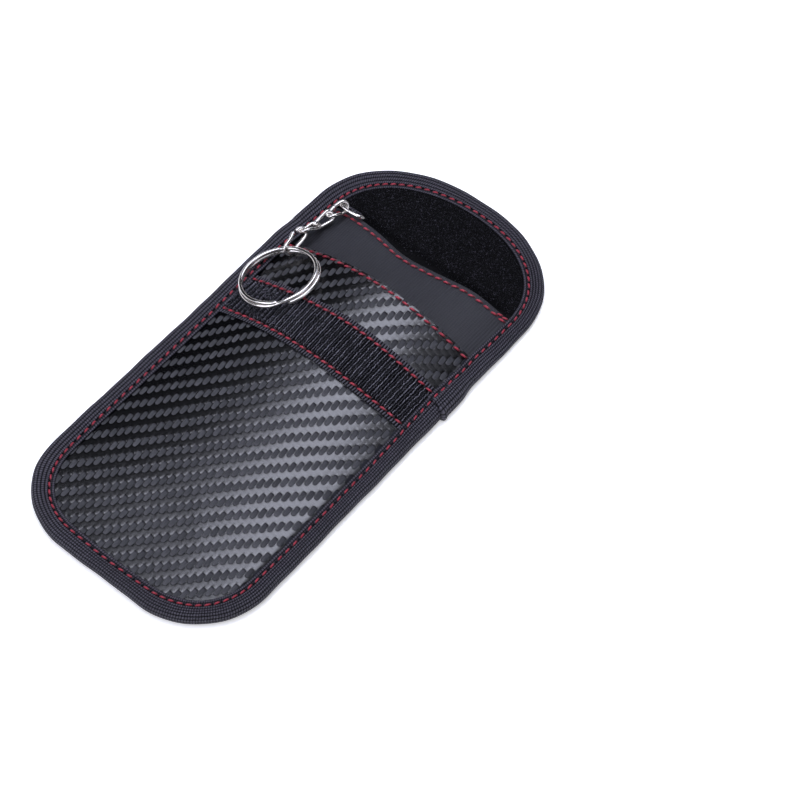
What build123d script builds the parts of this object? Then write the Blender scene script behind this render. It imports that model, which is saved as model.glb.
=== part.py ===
from build123d import *
import math
import os

# Signal-blocking key pouch, open, lying on its back. Millimetres.
# +X across the pouch, +Y from the closed end towards the flap, +Z up.
# Origin: middle of the underside. Distances called y below are measured
# from the closed end, and level() and station() carry them into the frame.

# ---- outline ---------------------------------------------------------------
width = 90.0
open_length = 190.0
corner_radius = 28.0  # closed end
shoulder_radius = 25.5  # flap corners
crown_radius = 59.0  # flap end
half = width / 2
shoulder_x = half - shoulder_radius
crown_y = open_length - crown_radius
shoulder_y = crown_y + math.sqrt((crown_radius - shoulder_radius) ** 2 - shoulder_x**2)
shoulder_angle = math.degrees(math.atan2(shoulder_y - crown_y, shoulder_x))

# ---- layers at the sewn edge, bottom and top of each ------------------------
tape_under = (0.0, 0.5)
back_edge = (0.55, 1.5)
back_field = (0.0, 1.0)
lining_edge = (1.55, 1.8)
lining_field = (1.05, 1.3)
middle_lining_z = (1.85, 2.05)
middle_z = (2.1, 2.9)
front_lining_z = (2.95, 3.15)
front_z = (3.2, 4.2)
tape_over_pouch = (4.3, 4.8)
tape_over_flap = (3.0, 3.5)
pad_edge = (1.85, 2.9)
pad_field = (1.35, 3.4)

edge_in = 0.6  # raw edges of the layers inside the tape fold
tape_width = 7.2
thread_in = 5.2
thread_width = 0.6
thread_height = 0.25
bulge_half = 37.6  # half the width that bulges, between the tapes

# ---- height of the bulge along the front pocket, y to centre height ---------
front_rise = [
    (0.0, 0.0),
    (12.0, 0.0),
    (28.0, 1.1),
    (44.0, 2.1),
    (60.0, 3.0),
    (80.0, 4.5),
    (98.5, 6.2),
    (118.0, 8.4),
    (128.0, 9.0),
    (135.7, 9.2),
]
middle_share = 0.41  # rise of the middle panel as a share of the front's
mouth_y = 135.7
middle_rise = 3.8  # at the inner pocket's mouth, constant past the front mouth

# ---- fold: two soft bends a pouch thickness apart ---------------------------
fold_y = 138.4
fold_z = 5.0
fold_span = 10.8
bend_y = fold_y + fold_span
gap = 0.1
hem_y = 155.4
middle_back_off = 2.0

# ---- hook strip -------------------------------------------------------------
strip_y = (98.5, 118.0)
strip_thick = 1.0
strip_half = 37.0

# ---- chain and ring ---------------------------------------------------------
wire = 1.2
link_play = 0.3
link_half_width = 1.8
big_link_half_width = 2.65
anchor_bar = (157.4, 4.6)  # y and z of the bar held in the anchor tape
anchor_link_x = -29.2
anchor_link_half_length = 4.9
anchor_link_tilt = 125.0  # of the link's plane from +Y, in degrees
ring_centre = (-29.0, 117.8, 10.4)
ring_tilt = 17.0
ring_mean_radius = 13.2
ring_wire = 1.4
ring_coil_step = 1.36
ring_contact_angle = 24.0
ring_play = 2.4
link_3_end = (-33.0, 149.4, 7.9)
link_2_end = (-34.0, 143.5, 7.4)
link_1_end = (-35.0, 137.6, 9.2)
# Turn of each link about its length, from flat, in degrees.
roll_4 = 90.0
roll_3 = 30.0
roll_2 = -32.0
roll_1 = 72.0


def level(h):
    """Horizontal plane at height h, its origin on the closed end."""
    return Plane(origin=(0, -open_length / 2, h))


def station(y):
    """Upright plane across the pouch at y: its own x is X and its own y is Z."""
    return Plane(
        origin=(0, y - open_length / 2, 0), x_dir=(1, 0, 0), z_dir=(0, -1, 0)
    )


def outline(inset):
    """Adds the pouch's outline, moved inwards by inset, to the open sketch."""
    with BuildLine() as edge:
        CenterArc((half - corner_radius, corner_radius), corner_radius - inset, -90, 90)
        Line((half - inset, corner_radius), (half - inset, shoulder_y))
        CenterArc((shoulder_x, shoulder_y), shoulder_radius - inset, 0, shoulder_angle)
        CenterArc(
            (0, crown_y), crown_radius - inset, shoulder_angle, 180 - 2 * shoulder_angle
        )
        CenterArc(
            (-shoulder_x, shoulder_y),
            shoulder_radius - inset,
            180 - shoulder_angle,
            shoulder_angle,
        )
        Line((-half + inset, shoulder_y), (-half + inset, corner_radius))
        CenterArc(
            (-half + corner_radius, corner_radius), corner_radius - inset, 180, 90
        )
        Line((-half + corner_radius, inset), (half - corner_radius, inset))
    make_face(edge.edges())


def between(y_low, y_high):
    """Keeps the part of the open sketch between two distances."""
    with Locations((0, (y_low + y_high) / 2)):
        Rectangle(2 * width, y_high - y_low, mode=Mode.INTERSECT)


def flat_layer(inset, z, y_low, y_high, mode=Mode.ADD):
    """Flat sheet between two heights within the outline."""
    with BuildSketch(level(z[0])) as sheet:
        outline(inset)
        between(y_low, y_high)
    extrude(sheet.sketch, amount=z[1] - z[0], mode=mode)


def bowed(z, rise, reach, power):
    """Adds the section of a sheet that bows upwards between the tapes, with flat wings out to reach."""
    if power == 2:
        shape = [(-1.0, 0.0), (0.0, 2.0), (1.0, 0.0)]
    else:
        shape = [(-1.0, 0.0), (-0.5, 2.0), (0.0, 0.0), (0.5, 2.0), (1.0, 0.0)]
    with BuildLine() as edge:
        for height in z:
            Bezier(*[(bulge_half * u, height + rise * v) for u, v in shape])
            Line((-reach, height), (-bulge_half, height))
            Line((bulge_half, height), (reach, height))
        Line((-reach, z[0]), (-reach, z[1]))
        Line((reach, z[0]), (reach, z[1]))
    make_face(edge.edges())


def rise_at(y):
    """Rise of the front pocket at y, straight between the listed stations."""
    for (y_a, r_a), (y_b, r_b) in zip(front_rise, front_rise[1:]):
        if y_a <= y <= y_b:
            return r_a + (r_b - r_a) * (y - y_a) / (y_b - y_a)
    return front_rise[-1][1]


def bow_on(z, rise, half_span):
    """Adds the section of a narrow sheet that lies on the bowed front."""
    drop = (half_span / bulge_half) ** 2
    with BuildLine() as edge:
        for height in z:
            low = height + rise * (1 - drop)
            Bezier(
                (-half_span, low), (0, low + 2 * rise * drop), (half_span, low)
            )
        for side in (-1, 1):
            low = rise * (1 - drop)
            Line(
                (side * half_span, z[0] + low),
                (side * half_span, z[1] + low),
            )
    make_face(edge.edges())


def thread_line(z, y_low, y_high):
    """Raised thread along the edge of the outline."""
    with BuildSketch(level(z)) as line:
        outline(thread_in)
        with BuildSketch(mode=Mode.PRIVATE) as inner:
            outline(thread_in + thread_width)
        add(inner.sketch, mode=Mode.SUBTRACT)
        between(y_low, y_high)
    extrude(line.sketch, amount=thread_height)


def tape(z_over, y_low, y_high):
    """Binding tape folded round the raw edge, open towards the inside."""
    flat_layer(0, (tape_under[0], z_over[1]), y_low, y_high)
    flat_layer(0.5, (tape_under[1], z_over[0]), y_low - 1, y_high + 1, Mode.SUBTRACT)
    flat_layer(
        tape_width, (-1, z_over[1] + 1), y_low - 1, y_high + 1, Mode.SUBTRACT
    )


def back_layer(y_low, y_high):
    """Outer panel: its edge is lifted by the tape and its field lies on the table."""
    flat_layer(edge_in, back_edge, y_low, y_high)
    flat_layer(8.0, (back_edge[0] - 1, back_edge[1] + 1), y_low - 1, y_high + 1, Mode.SUBTRACT)
    flat_layer(7.5, back_field, y_low, y_high)


def shield_layer(y_low, y_high):
    """Conductive lining: edge on the outer panel's edge, field on its field."""
    flat_layer(edge_in, (lining_field[0], lining_edge[1]), y_low, y_high)
    with BuildSketch(level(lining_field[0])) as under:
        outline(edge_in)
        with BuildSketch(mode=Mode.PRIVATE) as inner:
            outline(8.3)
        add(inner.sketch, mode=Mode.SUBTRACT)
        between(y_low - 1, y_high + 1)
    extrude(under.sketch, amount=lining_edge[0] - lining_field[0], mode=Mode.SUBTRACT)
    flat_layer(8.6, (lining_field[1], lining_edge[1]), y_low - 1, y_high + 1, Mode.SUBTRACT)


def bowed_panel(z, share, power, y_end):
    """Sheet that bows up along the pocket, cut to the outline."""
    sections = []
    for y in [y for y, rise in front_rise if y < y_end] + [y_end]:
        with BuildSketch(station(y)) as section:
            bowed(z, rise_at(y) * share, half + 2, power)
        sections.append(section.sketch)
    loft(sections, ruled=True)
    with BuildSketch(level(-1)) as cut:
        outline(edge_in)
    extrude(cut.sketch, amount=30, mode=Mode.INTERSECT)


def mouth_strip(z, y_low, y_high):
    """Short length of the inner pocket's front past the outer pocket's mouth."""
    with BuildSketch(station(y_low)) as section:
        bowed(z, middle_rise, half - edge_in, 4)
    extrude(section.sketch, amount=-(y_high - y_low))


# ---- pouch ------------------------------------------------------------------
os.makedirs("parts", exist_ok=True)

pouch_end = fold_y - gap

with BuildPart() as back_panel:
    back_layer(0, pouch_end)
back_panel.part.label = "back_panel"

with BuildPart() as back_shield_lining:
    shield_layer(0, pouch_end)
back_shield_lining.part.label = "back_shield_lining"

with BuildPart() as middle_shield_lining:
    bowed_panel(middle_lining_z, middle_share, 4, fold_y - middle_back_off)
middle_shield_lining.part.label = "middle_shield_lining"

with BuildPart() as middle_panel:
    bowed_panel(middle_z, middle_share, 4, fold_y - middle_back_off)
middle_panel.part.label = "middle_panel"

with BuildPart() as front_lining:
    bowed_panel(front_lining_z, 1.0, 2, mouth_y)
front_lining.part.label = "front_lining"

with BuildPart() as front_panel:
    bowed_panel(front_z, 1.0, 2, mouth_y)
front_panel.part.label = "front_panel"

# The strip's top follows the bow of the front at both of its long edges.
strip_z = (front_z[1] + 0.05, front_z[1] + 0.05 + strip_thick)
with BuildPart() as hook_strip:
    for y in strip_y:
        with BuildSketch(station(y)):
            bow_on(strip_z, rise_at(y), strip_half)
    loft(ruled=True)
hook_strip.part.label = "hook_strip"

with BuildPart() as pouch_binding:
    tape(tape_over_pouch, 0, pouch_end)
pouch_binding.part.label = "pouch_binding"

# Where the tape's end is folded under and laps over its start, on the right.
with BuildPart() as binding_end_lap:
    with BuildSketch(
        Plane(
            origin=(41.3, 114.0 - open_length / 2, tape_over_pouch[1] + 0.05),
            x_dir=(math.cos(math.radians(-4)), math.sin(math.radians(-4)), 0),
            z_dir=(0, 0, 1),
        )
    ):
        RectangleRounded(6.8, 2.6, 0.5)
    extrude(amount=0.5)
binding_end_lap.part.label = "binding_end_lap"

with BuildPart() as pouch_edge_stitching:
    thread_line(tape_over_pouch[1], 0, pouch_end)
    with BuildSketch(level(tape_over_pouch[1] - 1)):
        with Locations((41.3, 114.0)):
            Rectangle(8.4, 4.4)
    extrude(amount=5, mode=Mode.SUBTRACT)
pouch_edge_stitching.part.label = "pouch_edge_stitching"


def cross_thread(y, on_top, half_span):
    """Section of a thread that runs across the bowed front at y."""
    bow_on((on_top, on_top + thread_height), rise_at(y), half_span)


with BuildPart() as front_hem_stitching:
    for y in (133.9, 133.9 + thread_width):
        with BuildSketch(station(y)):
            cross_thread(y, front_z[1] + 0.02, 37.0)
    loft(ruled=True)
front_hem_stitching.part.label = "front_hem_stitching"

with BuildPart() as hook_strip_upper_stitching:
    for y in (115.9, 115.9 + thread_width):
        with BuildSketch(station(y)):
            cross_thread(y, strip_z[1] + 0.02, 36.6)
    loft(ruled=True)
hook_strip_upper_stitching.part.label = "hook_strip_upper_stitching"

with BuildPart() as hook_strip_lower_stitching:
    for y in (100.0, 100.0 + thread_width):
        with BuildSketch(station(y)):
            cross_thread(y, strip_z[1] + 0.02, 36.6)
    loft(ruled=True)
hook_strip_lower_stitching.part.label = "hook_strip_lower_stitching"

# ---- fold, the soft strip between the two bends -----------------------------
fold_start = fold_y + gap
fold_end = bend_y - gap

with BuildPart() as fold_panel:
    back_layer(fold_start, fold_end)
fold_panel.part.label = "fold_panel"

with BuildPart() as fold_shield_lining:
    shield_layer(fold_start, fold_end)
fold_shield_lining.part.label = "fold_shield_lining"

with BuildPart() as fold_middle_lining:
    mouth_strip(middle_lining_z, fold_start + 0.2, fold_end - middle_back_off)
fold_middle_lining.part.label = "fold_middle_lining"

with BuildPart() as fold_middle_panel:
    mouth_strip(middle_z, fold_start + 0.2, fold_end - middle_back_off)
fold_middle_panel.part.label = "fold_middle_panel"

with BuildPart() as fold_binding:
    tape(tape_over_flap, fold_start, fold_end)
fold_binding.part.label = "fold_binding"

with BuildPart() as fold_edge_stitching:
    thread_line(tape_over_flap[1], fold_start, fold_end)
fold_edge_stitching.part.label = "fold_edge_stitching"

# ---- flap -------------------------------------------------------------------
flap_start = bend_y + gap
pad_start = 158.8

with BuildPart() as flap_panel:
    back_layer(flap_start, open_length + 1)
flap_panel.part.label = "flap_panel"

with BuildPart() as flap_shield_lining:
    shield_layer(flap_start, open_length + 1)
flap_shield_lining.part.label = "flap_shield_lining"

with BuildPart() as mouth_middle_lining:
    mouth_strip(middle_lining_z, flap_start + 0.2, hem_y)
mouth_middle_lining.part.label = "mouth_middle_lining"

with BuildPart() as mouth_middle_panel:
    mouth_strip(middle_z, flap_start + 0.2, hem_y)
mouth_middle_panel.part.label = "mouth_middle_panel"

with BuildPart() as loop_pad:
    flat_layer(edge_in, pad_edge, pad_start, open_length + 1)
    flat_layer(7.4, (pad_edge[0], pad_field[1]), pad_start, open_length + 1)
    flat_layer(8.9, (pad_field[0], pad_edge[1]), pad_start, open_length + 1)
loop_pad.part.label = "loop_pad"

with BuildPart() as flap_binding:
    tape(tape_over_flap, flap_start, open_length + 1)
flap_binding.part.label = "flap_binding"

with BuildPart() as flap_edge_stitching:
    thread_line(tape_over_flap[1], flap_start, open_length + 1)
flap_edge_stitching.part.label = "flap_edge_stitching"

with BuildPart() as middle_hem_stitching:
    with BuildSketch(station(hem_y - 1.9)):
        bowed(
            (middle_z[1] + 0.02, middle_z[1] + 0.02 + thread_height),
            middle_rise,
            bulge_half + 0.1,
            4,
        )
    extrude(amount=-thread_width)
    with BuildSketch(station(hem_y - 3)):
        with Locations((0, 10)):
            Rectangle(2 * 36.5, 20)
    extrude(amount=-4, mode=Mode.INTERSECT)
middle_hem_stitching.part.label = "middle_hem_stitching"

# Woven tape that holds the chain: a tail behind the hem, a riser and a tunnel.
with BuildPart() as chain_anchor_tape:
    with BuildSketch(
        Plane(origin=(-31.4, -open_length / 2, 0), x_dir=(0, 1, 0), z_dir=(1, 0, 0))
    ):
        with Locations((154.15, 2.1)):
            Rectangle(6.5, 0.4)
        with Locations((157.2, 2.75)):
            Rectangle(0.4, 1.7)
        with Locations(anchor_bar):
            Circle(wire / 2 + 0.6)
        with Locations(anchor_bar):
            Circle(wire / 2 + 0.2, mode=Mode.SUBTRACT)
    extrude(amount=4.8)
chain_anchor_tape.part.label = "chain_anchor_tape"


# ---- chain ------------------------------------------------------------------
def point(p):
    """Point given from the closed end, in the frame."""
    return Vector(p[0], p[1] - open_length / 2, p[2])


def link_plane(low, high, roll):
    """Plane of a link from one end to the other, turned about its length by roll degrees."""
    along = (high - low).normalized()
    across = along.cross(Vector(0, 0, 1)).normalized()
    up = across.cross(along)
    side = across * math.cos(math.radians(roll)) + up * math.sin(math.radians(roll))
    return Plane(origin=(low + high) / 2, x_dir=along, z_dir=along.cross(side))


def link(plane, half_length, half_width):
    """Wire link: two straight sides joined by two half circles."""
    straight = half_length - half_width
    with BuildLine(plane) as path:
        Line((-straight, -half_width), (straight, -half_width))
        CenterArc((straight, 0), half_width, -90, 180)
        Line((straight, half_width), (-straight, half_width))
        CenterArc((-straight, 0), half_width, 90, 180)
    start = plane.from_local_coords(Vector(0, -half_width, 0))
    with BuildSketch(Plane(origin=start, x_dir=plane.z_dir, z_dir=plane.x_dir)) as cut:
        Circle(wire / 2)
    sweep(cut.sketch, path=path.wires()[0])


reach = (wire + link_play) / 2
tilt = math.radians(ring_tilt)
turn = math.radians(ring_contact_angle)
ring_x = Vector(math.cos(tilt), 0, math.sin(tilt))
ring_y = Vector(0, 1, 0)
ring_z = ring_x.cross(ring_y)
ring_middle = point(ring_centre)
ring_hold = ring_middle + (ring_y * math.cos(turn) - ring_x * math.sin(turn)) * (
    ring_mean_radius
)

lean = math.radians(anchor_link_tilt)
lower_bar = point((anchor_link_x, anchor_bar[0], anchor_bar[1]))
upper_bar = lower_bar + Vector(0, math.cos(lean), math.sin(lean)) * (
    2 * link_half_width
)
link_4_top = Vector(-32.1, upper_bar.Y, upper_bar.Z)
end_3, end_2, end_1 = point(link_3_end), point(link_2_end), point(link_1_end)

with BuildPart() as anchor_link:
    link(
        Plane(
            origin=(lower_bar + upper_bar) / 2,
            x_dir=(1, 0, 0),
            z_dir=Vector(1, 0, 0).cross(upper_bar - lower_bar).normalized(),
        ),
        anchor_link_half_length,
        link_half_width,
    )
anchor_link.part.label = "anchor_link"


def spread_link(low, high, low_reach, high_reach):
    """The two outermost points of a link's centreline."""
    along = (high - low).normalized()
    return low - along * low_reach, high + along * high_reach


low, high = spread_link(end_3, link_4_top, reach, wire + link_play)
with BuildPart() as chain_link_4:
    link(link_plane(low, high, roll_4), (high - low).length / 2, link_half_width)
chain_link_4.part.label = "chain_link_4"

low, high = spread_link(end_2, end_3, reach, reach)
with BuildPart() as chain_link_3:
    link(link_plane(low, high, roll_3), (high - low).length / 2, link_half_width)
chain_link_3.part.label = "chain_link_3"

low, high = spread_link(end_1, end_2, reach, reach)
with BuildPart() as chain_link_2:
    link(link_plane(low, high, roll_2), (high - low).length / 2, link_half_width)
chain_link_2.part.label = "chain_link_2"

low, high = spread_link(ring_hold, end_1, ring_play, reach)
with BuildPart() as chain_link_1:
    link(link_plane(low, high, roll_1), (high - low).length / 2, big_link_half_width)
chain_link_1.part.label = "chain_link_1"

# Split ring: two coils of round wire side by side.
with BuildPart() as split_ring:
    with BuildSketch(Plane(origin=ring_middle, x_dir=ring_x, z_dir=-ring_y)):
        for side in (-1, 1):
            with Locations((ring_mean_radius, side * ring_coil_step / 2)):
                Circle(ring_wire / 2)
    revolve(axis=Axis(ring_middle, ring_z), revolution_arc=360)
split_ring.part.label = "split_ring"

for piece in (
    back_panel,
    back_shield_lining,
    middle_shield_lining,
    middle_panel,
    front_lining,
    front_panel,
    hook_strip,
    pouch_binding,
    binding_end_lap,
    pouch_edge_stitching,
    front_hem_stitching,
    hook_strip_upper_stitching,
    hook_strip_lower_stitching,
    fold_panel,
    fold_shield_lining,
    fold_middle_lining,
    fold_middle_panel,
    fold_binding,
    fold_edge_stitching,
    flap_panel,
    flap_shield_lining,
    mouth_middle_lining,
    mouth_middle_panel,
    loop_pad,
    flap_binding,
    flap_edge_stitching,
    middle_hem_stitching,
    chain_anchor_tape,
    anchor_link,
    chain_link_4,
    chain_link_3,
    chain_link_2,
    chain_link_1,
    split_ring,
):
    export_step(piece.part, f"parts/{piece.part.label}.step")
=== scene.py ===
import math

import bpy
import numpy as np
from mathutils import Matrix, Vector


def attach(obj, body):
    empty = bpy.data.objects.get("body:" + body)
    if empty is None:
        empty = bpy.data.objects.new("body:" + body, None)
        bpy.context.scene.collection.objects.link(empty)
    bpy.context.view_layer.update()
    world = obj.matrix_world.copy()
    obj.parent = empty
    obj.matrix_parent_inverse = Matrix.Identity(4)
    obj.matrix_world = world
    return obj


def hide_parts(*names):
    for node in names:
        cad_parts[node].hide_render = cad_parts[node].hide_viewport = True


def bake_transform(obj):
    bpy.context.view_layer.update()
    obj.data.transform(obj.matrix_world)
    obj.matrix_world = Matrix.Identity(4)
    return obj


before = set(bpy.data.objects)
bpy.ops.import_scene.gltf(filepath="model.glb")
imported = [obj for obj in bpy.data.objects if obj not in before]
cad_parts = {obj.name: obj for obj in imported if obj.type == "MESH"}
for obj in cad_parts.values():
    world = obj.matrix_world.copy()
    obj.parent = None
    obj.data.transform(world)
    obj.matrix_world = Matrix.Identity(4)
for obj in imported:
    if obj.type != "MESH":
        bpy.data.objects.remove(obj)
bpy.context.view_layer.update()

# Soft key pouch with a hook-and-loop flap. Shapes are worked out in millimetres, with y
# measured from the closed end, and turned into metres in the row frame by mesh().
OPEN = 190.0
HALF = 45.0
TAPE_W = 7.2
SEAM_IN = 5.45
CUT_Y = 143.8  # where the pieces that cross the fold are cut, inside its rigid middle
MOUTH_Y = 135.7
STRIP = (98.5, 118.0)
PITCH = 3.5


def smooth(a, b, x):
    t = np.clip((np.asarray(x, float) - a) / (b - a), 0, 1)
    return t * t * (3 - 2 * t)


def wobble(x, y, size, seed):
    """Gentle irregular waves of about that size, from -1 to 1."""
    r = np.random.default_rng(seed)
    total = np.zeros(np.broadcast(x, y).shape)
    for _ in range(7):
        a, k, p = r.uniform(0, math.tau), r.uniform(0.6, 1.5), r.uniform(0, math.tau)
        total += np.sin(
            math.tau * k / size * (np.cos(a) * x + np.sin(a) * y) + p
        )
    return total / 4.0


# ---- outline ----------------------------------------------------------------
def make_outline():
    right = [(x, 0.0) for x in np.linspace(0, 17, 60)]
    for a in np.linspace(-90, 0, 160)[1:]:
        right.append(
            (17 + 28 * math.cos(math.radians(a)), 28 + 28 * math.sin(math.radians(a)))
        )
    right += [(45.0, y) for y in np.linspace(28, 155, 500)[1:]]
    for a in np.linspace(0, 90, 400)[1:]:
        c, s = math.cos(math.radians(a)), math.sin(math.radians(a))
        right.append((45 * max(c, 0) ** (2 / 2.2), 155 + 35 * s ** (2 / 2.2)))
    right = np.array(right)
    left = right[-2:0:-1] * [-1, 1]
    p = np.concatenate([right, left])
    closed = np.concatenate([p, p[:1]])
    along = np.concatenate(
        [[0], np.cumsum(np.linalg.norm(np.diff(closed, axis=0), axis=1))]
    )
    n = 4096
    at = np.arange(n) * along[-1] / n
    p = np.stack([np.interp(at, along, closed[:, k]) for k in (0, 1)], 1)
    step = along[-1] / n
    k = np.arange(-60, 61) * step
    w = np.exp(-((k / 2.0) ** 2) / 2)
    w /= w.sum()
    q = sum(w[i] * np.roll(p, -(i - 60), axis=0) for i in range(121))
    t = np.roll(q, -1, axis=0) - np.roll(q, 1, axis=0)
    t /= np.linalg.norm(t, axis=1)[:, None]
    return q, np.stack([t[:, 1], -t[:, 0]], 1), along[-1]


RIM, RIM_N, ROUND = make_outline()
RIM_S = np.arange(len(RIM)) * ROUND / len(RIM)


def rim(s, d):
    """Point of the outline at distance s along it, moved inwards by d."""
    s, d = np.broadcast_arrays(np.asarray(s, float), np.asarray(d, float))
    u = np.mod(s, ROUND)
    out = []
    for k in (0, 1):
        p = np.interp(u, RIM_S, RIM[:, k], period=ROUND)
        n = np.interp(u, RIM_S, RIM_N[:, k], period=ROUND)
        out.append(p - n * d)
    return out[0], out[1]


def inset_of(x, y):
    """How far inside the outline a point is."""
    x, y = np.broadcast_arrays(np.asarray(x, float), np.asarray(y, float))
    fx, fy = x.ravel(), y.ravel()
    o = RIM[::6]
    best = np.empty(len(fx))
    for i in range(0, len(fx), 4000):
        dx = fx[i : i + 4000, None] - o[None, :, 0]
        dy = fy[i : i + 4000, None] - o[None, :, 1]
        best[i : i + 4000] = np.sqrt((dx * dx + dy * dy).min(1))
    return best.reshape(x.shape)


def half_width(d, y):
    """Half the width of the outline moved in by d, at y."""
    n = len(RIM) // 2
    q = RIM - RIM_N * d
    ys, xs = q[: n + 1, 1], q[: n + 1, 0]
    keep = np.concatenate([[True], np.diff(np.maximum.accumulate(ys)) > 1e-6])
    return np.interp(y, ys[keep], xs[keep])


def s_right(y):
    """Distance along the outline of the right side's point at y."""
    n = len(RIM) // 2
    ys = RIM[:n, 1]
    keep = np.concatenate([[True], np.diff(np.maximum.accumulate(ys)) > 1e-6])
    return float(np.interp(y, ys[keep], RIM_S[:n][keep]))


CUT_S = s_right(CUT_Y)

# how far inside the edge the seam runs, at distances along the outline; it was sewn by eye
_SEAM = np.array(
    [
        (0, 4.6), (12, 4.85), (25, 5.2), (38, 4.8), (60, 5.05), (78, 4.65), (115, 4.6),
        (145, 5.3), (160, 4.9), (175, 5.2), (190, 4.9), (225, 5.3), (255, 5.7), (275, 6.6),
        (295, 7.1), (312, 7.1), (330, 6.2), (345, 5.8), (372, 6.4), (430, 6.5), (446, 6.9),
        (465, 5.85), (487, 5.4), (500, 4.7),
    ]
)
_seam_fine = np.interp(RIM_S, _SEAM[:, 0], _SEAM[:, 1], period=ROUND)
_w = np.exp(-((np.arange(-60, 61) * ROUND / len(RIM) / 3.0) ** 2) / 2)
_seam_fine = np.convolve(
    np.concatenate([_seam_fine[-60:], _seam_fine, _seam_fine[:60]]), _w / _w.sum(), mode="valid"
)


def sway(s):
    """How much farther in the seam and the tape's edge are than on average."""
    return np.interp(np.mod(s, ROUND), RIM_S, _seam_fine, period=ROUND) - SEAM_IN


def field_start(x):
    """Inset at which the panels begin to rise from the seam."""
    return 7.4 + 1.1 * smooth(-16, -37, x)

# ---- heights ----------------------------------------------------------------
_ry = np.array([0, 12, 28, 44, 60, 80, 98.5, 118, 128, 135.7, 150, 200.0])
_rz = np.array([0, 0, 1.1, 2.1, 3.0, 4.5, 6.2, 8.4, 9.0, 9.2, 9.2, 9.2])
_fine = np.linspace(0, 200, 801)
_raw = np.interp(_fine, _ry, _rz)
_k = np.exp(-((np.arange(-20, 21) * 0.25 / 2.2) ** 2) / 2)
_soft = np.convolve(np.pad(_raw, 20, mode="edge"), _k / _k.sum(), mode="valid")


def rise(y):
    return np.interp(y, _fine, _soft)


def mouth_line(x):
    """Upper edge of the front panel."""
    return MOUTH_Y - 0.85 * smooth(4, -36, x)


def strip_skew(x, t):
    """The strip was sewn on slightly askew; t is 0 at its lower edge and 1 at its upper one."""
    upper = -1.65 * smooth(14, -36, x)
    lower = -0.9 * smooth(-8, -38, x) + 0.4 * smooth(20, 38, x)
    return lower + (upper - lower) * t


def front_top(x, y, detail=True):
    """Top of the front panel."""
    d = inset_of(x, y)
    q = np.clip((d - field_start(x)) / 37.6, 0, 1)
    z = 4.2 + rise(y) * q * (2 - q)
    if detail:
        field = smooth(7.4, 13, d)
        z = z + field * (0.035 * wobble(x, y, 34, 1) + 0.012 * wobble(x, y, 13, 2))
        for row, depth, reach in (
            (mouth_line(x) - 1.6, 0.20, 0.75),
            (116.2 + strip_skew(x, 1), 0.12, 1.6),
            (100.3 + strip_skew(x, 0), 0.12, 1.6),
        ):
            pull = np.exp(-(((y - row) / reach) ** 2))
            z = z - depth * pull * (0.75 + 0.25 * np.cos(math.tau * x / 3.2))
        # the mouth's edge rolls over
        z = z - 0.34 * np.clip(1 - (mouth_line(x) - y) / 1.5, 0, 1) ** 2
        # the panel eases up beside the strip
        ease = np.exp(-(((y - 97.0) / 2.2) ** 2)) + np.exp(-(((y - 119.8) / 2.2) ** 2))
        z = z + 0.03 * ease * wobble(x, y, 9, 3)
    return z


def middle_rise(y):
    h = 0.41 * np.minimum(rise(np.minimum(y, 135.7)), 9.2)
    return h


def hem_line(x):
    """Upper edge of the middle panel, slack in the middle."""
    x = np.asarray(x, float)
    return 156.1 + 0.35 * np.exp(-(((x + 28) / 6) ** 2)) - 3.0 * np.exp(-(((x + 1.5) / 17.0) ** 2)) + 0.12 * np.sin(x / 3.1)


def middle_top(x, y, detail=True):
    d = inset_of(x, y)
    q = 1 - np.clip((d - field_start(x)) / 37.6, 0, 1)
    z = 2.9 + middle_rise(y) * (1 - q**4)
    if detail:
        field = smooth(7.6, 13, d)
        late = smooth(120, 138, y)
        z = z + field * late * (
            0.22 * wobble(x, y * 0.7, 26, 11)
            + 0.05 * wobble(x, y, 8, 12)
            - 0.55 * np.exp(-(((x + 2) / 15) ** 2)) * smooth(141, 154, y)
        )
        seam = hem_line(x) - 1.9
        pull = np.exp(-(((y - seam) / 0.7) ** 2))
        z = z - 0.16 * pull * (0.75 + 0.25 * np.cos(math.tau * x / 3.3))
    return z


def tape_level(y):
    """Upper face of the binding tape."""
    return 4.72 - 1.22 * smooth(134.5, 145.5, y)


def strip_lift(y):
    """The tape climbs over the hook strip's tucked ends."""
    return 0.42 * smooth(97.3, 98.9, y) * (1 - smooth(117.6, 119.2, y))


def edge_wave(s):
    side = smooth(352, 372, s) * (1 - smooth(442, 456, s)) + (
        smooth(352, 372, s + ROUND) * (1 - smooth(442, 456, s + ROUND))
    )
    return (
        0.6 * side
        + 0.08 * np.sin(math.tau * s / 31 + 0.7)
        + 0.05 * np.sin(math.tau * s / 13.3 + 2.1)
    )


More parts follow.
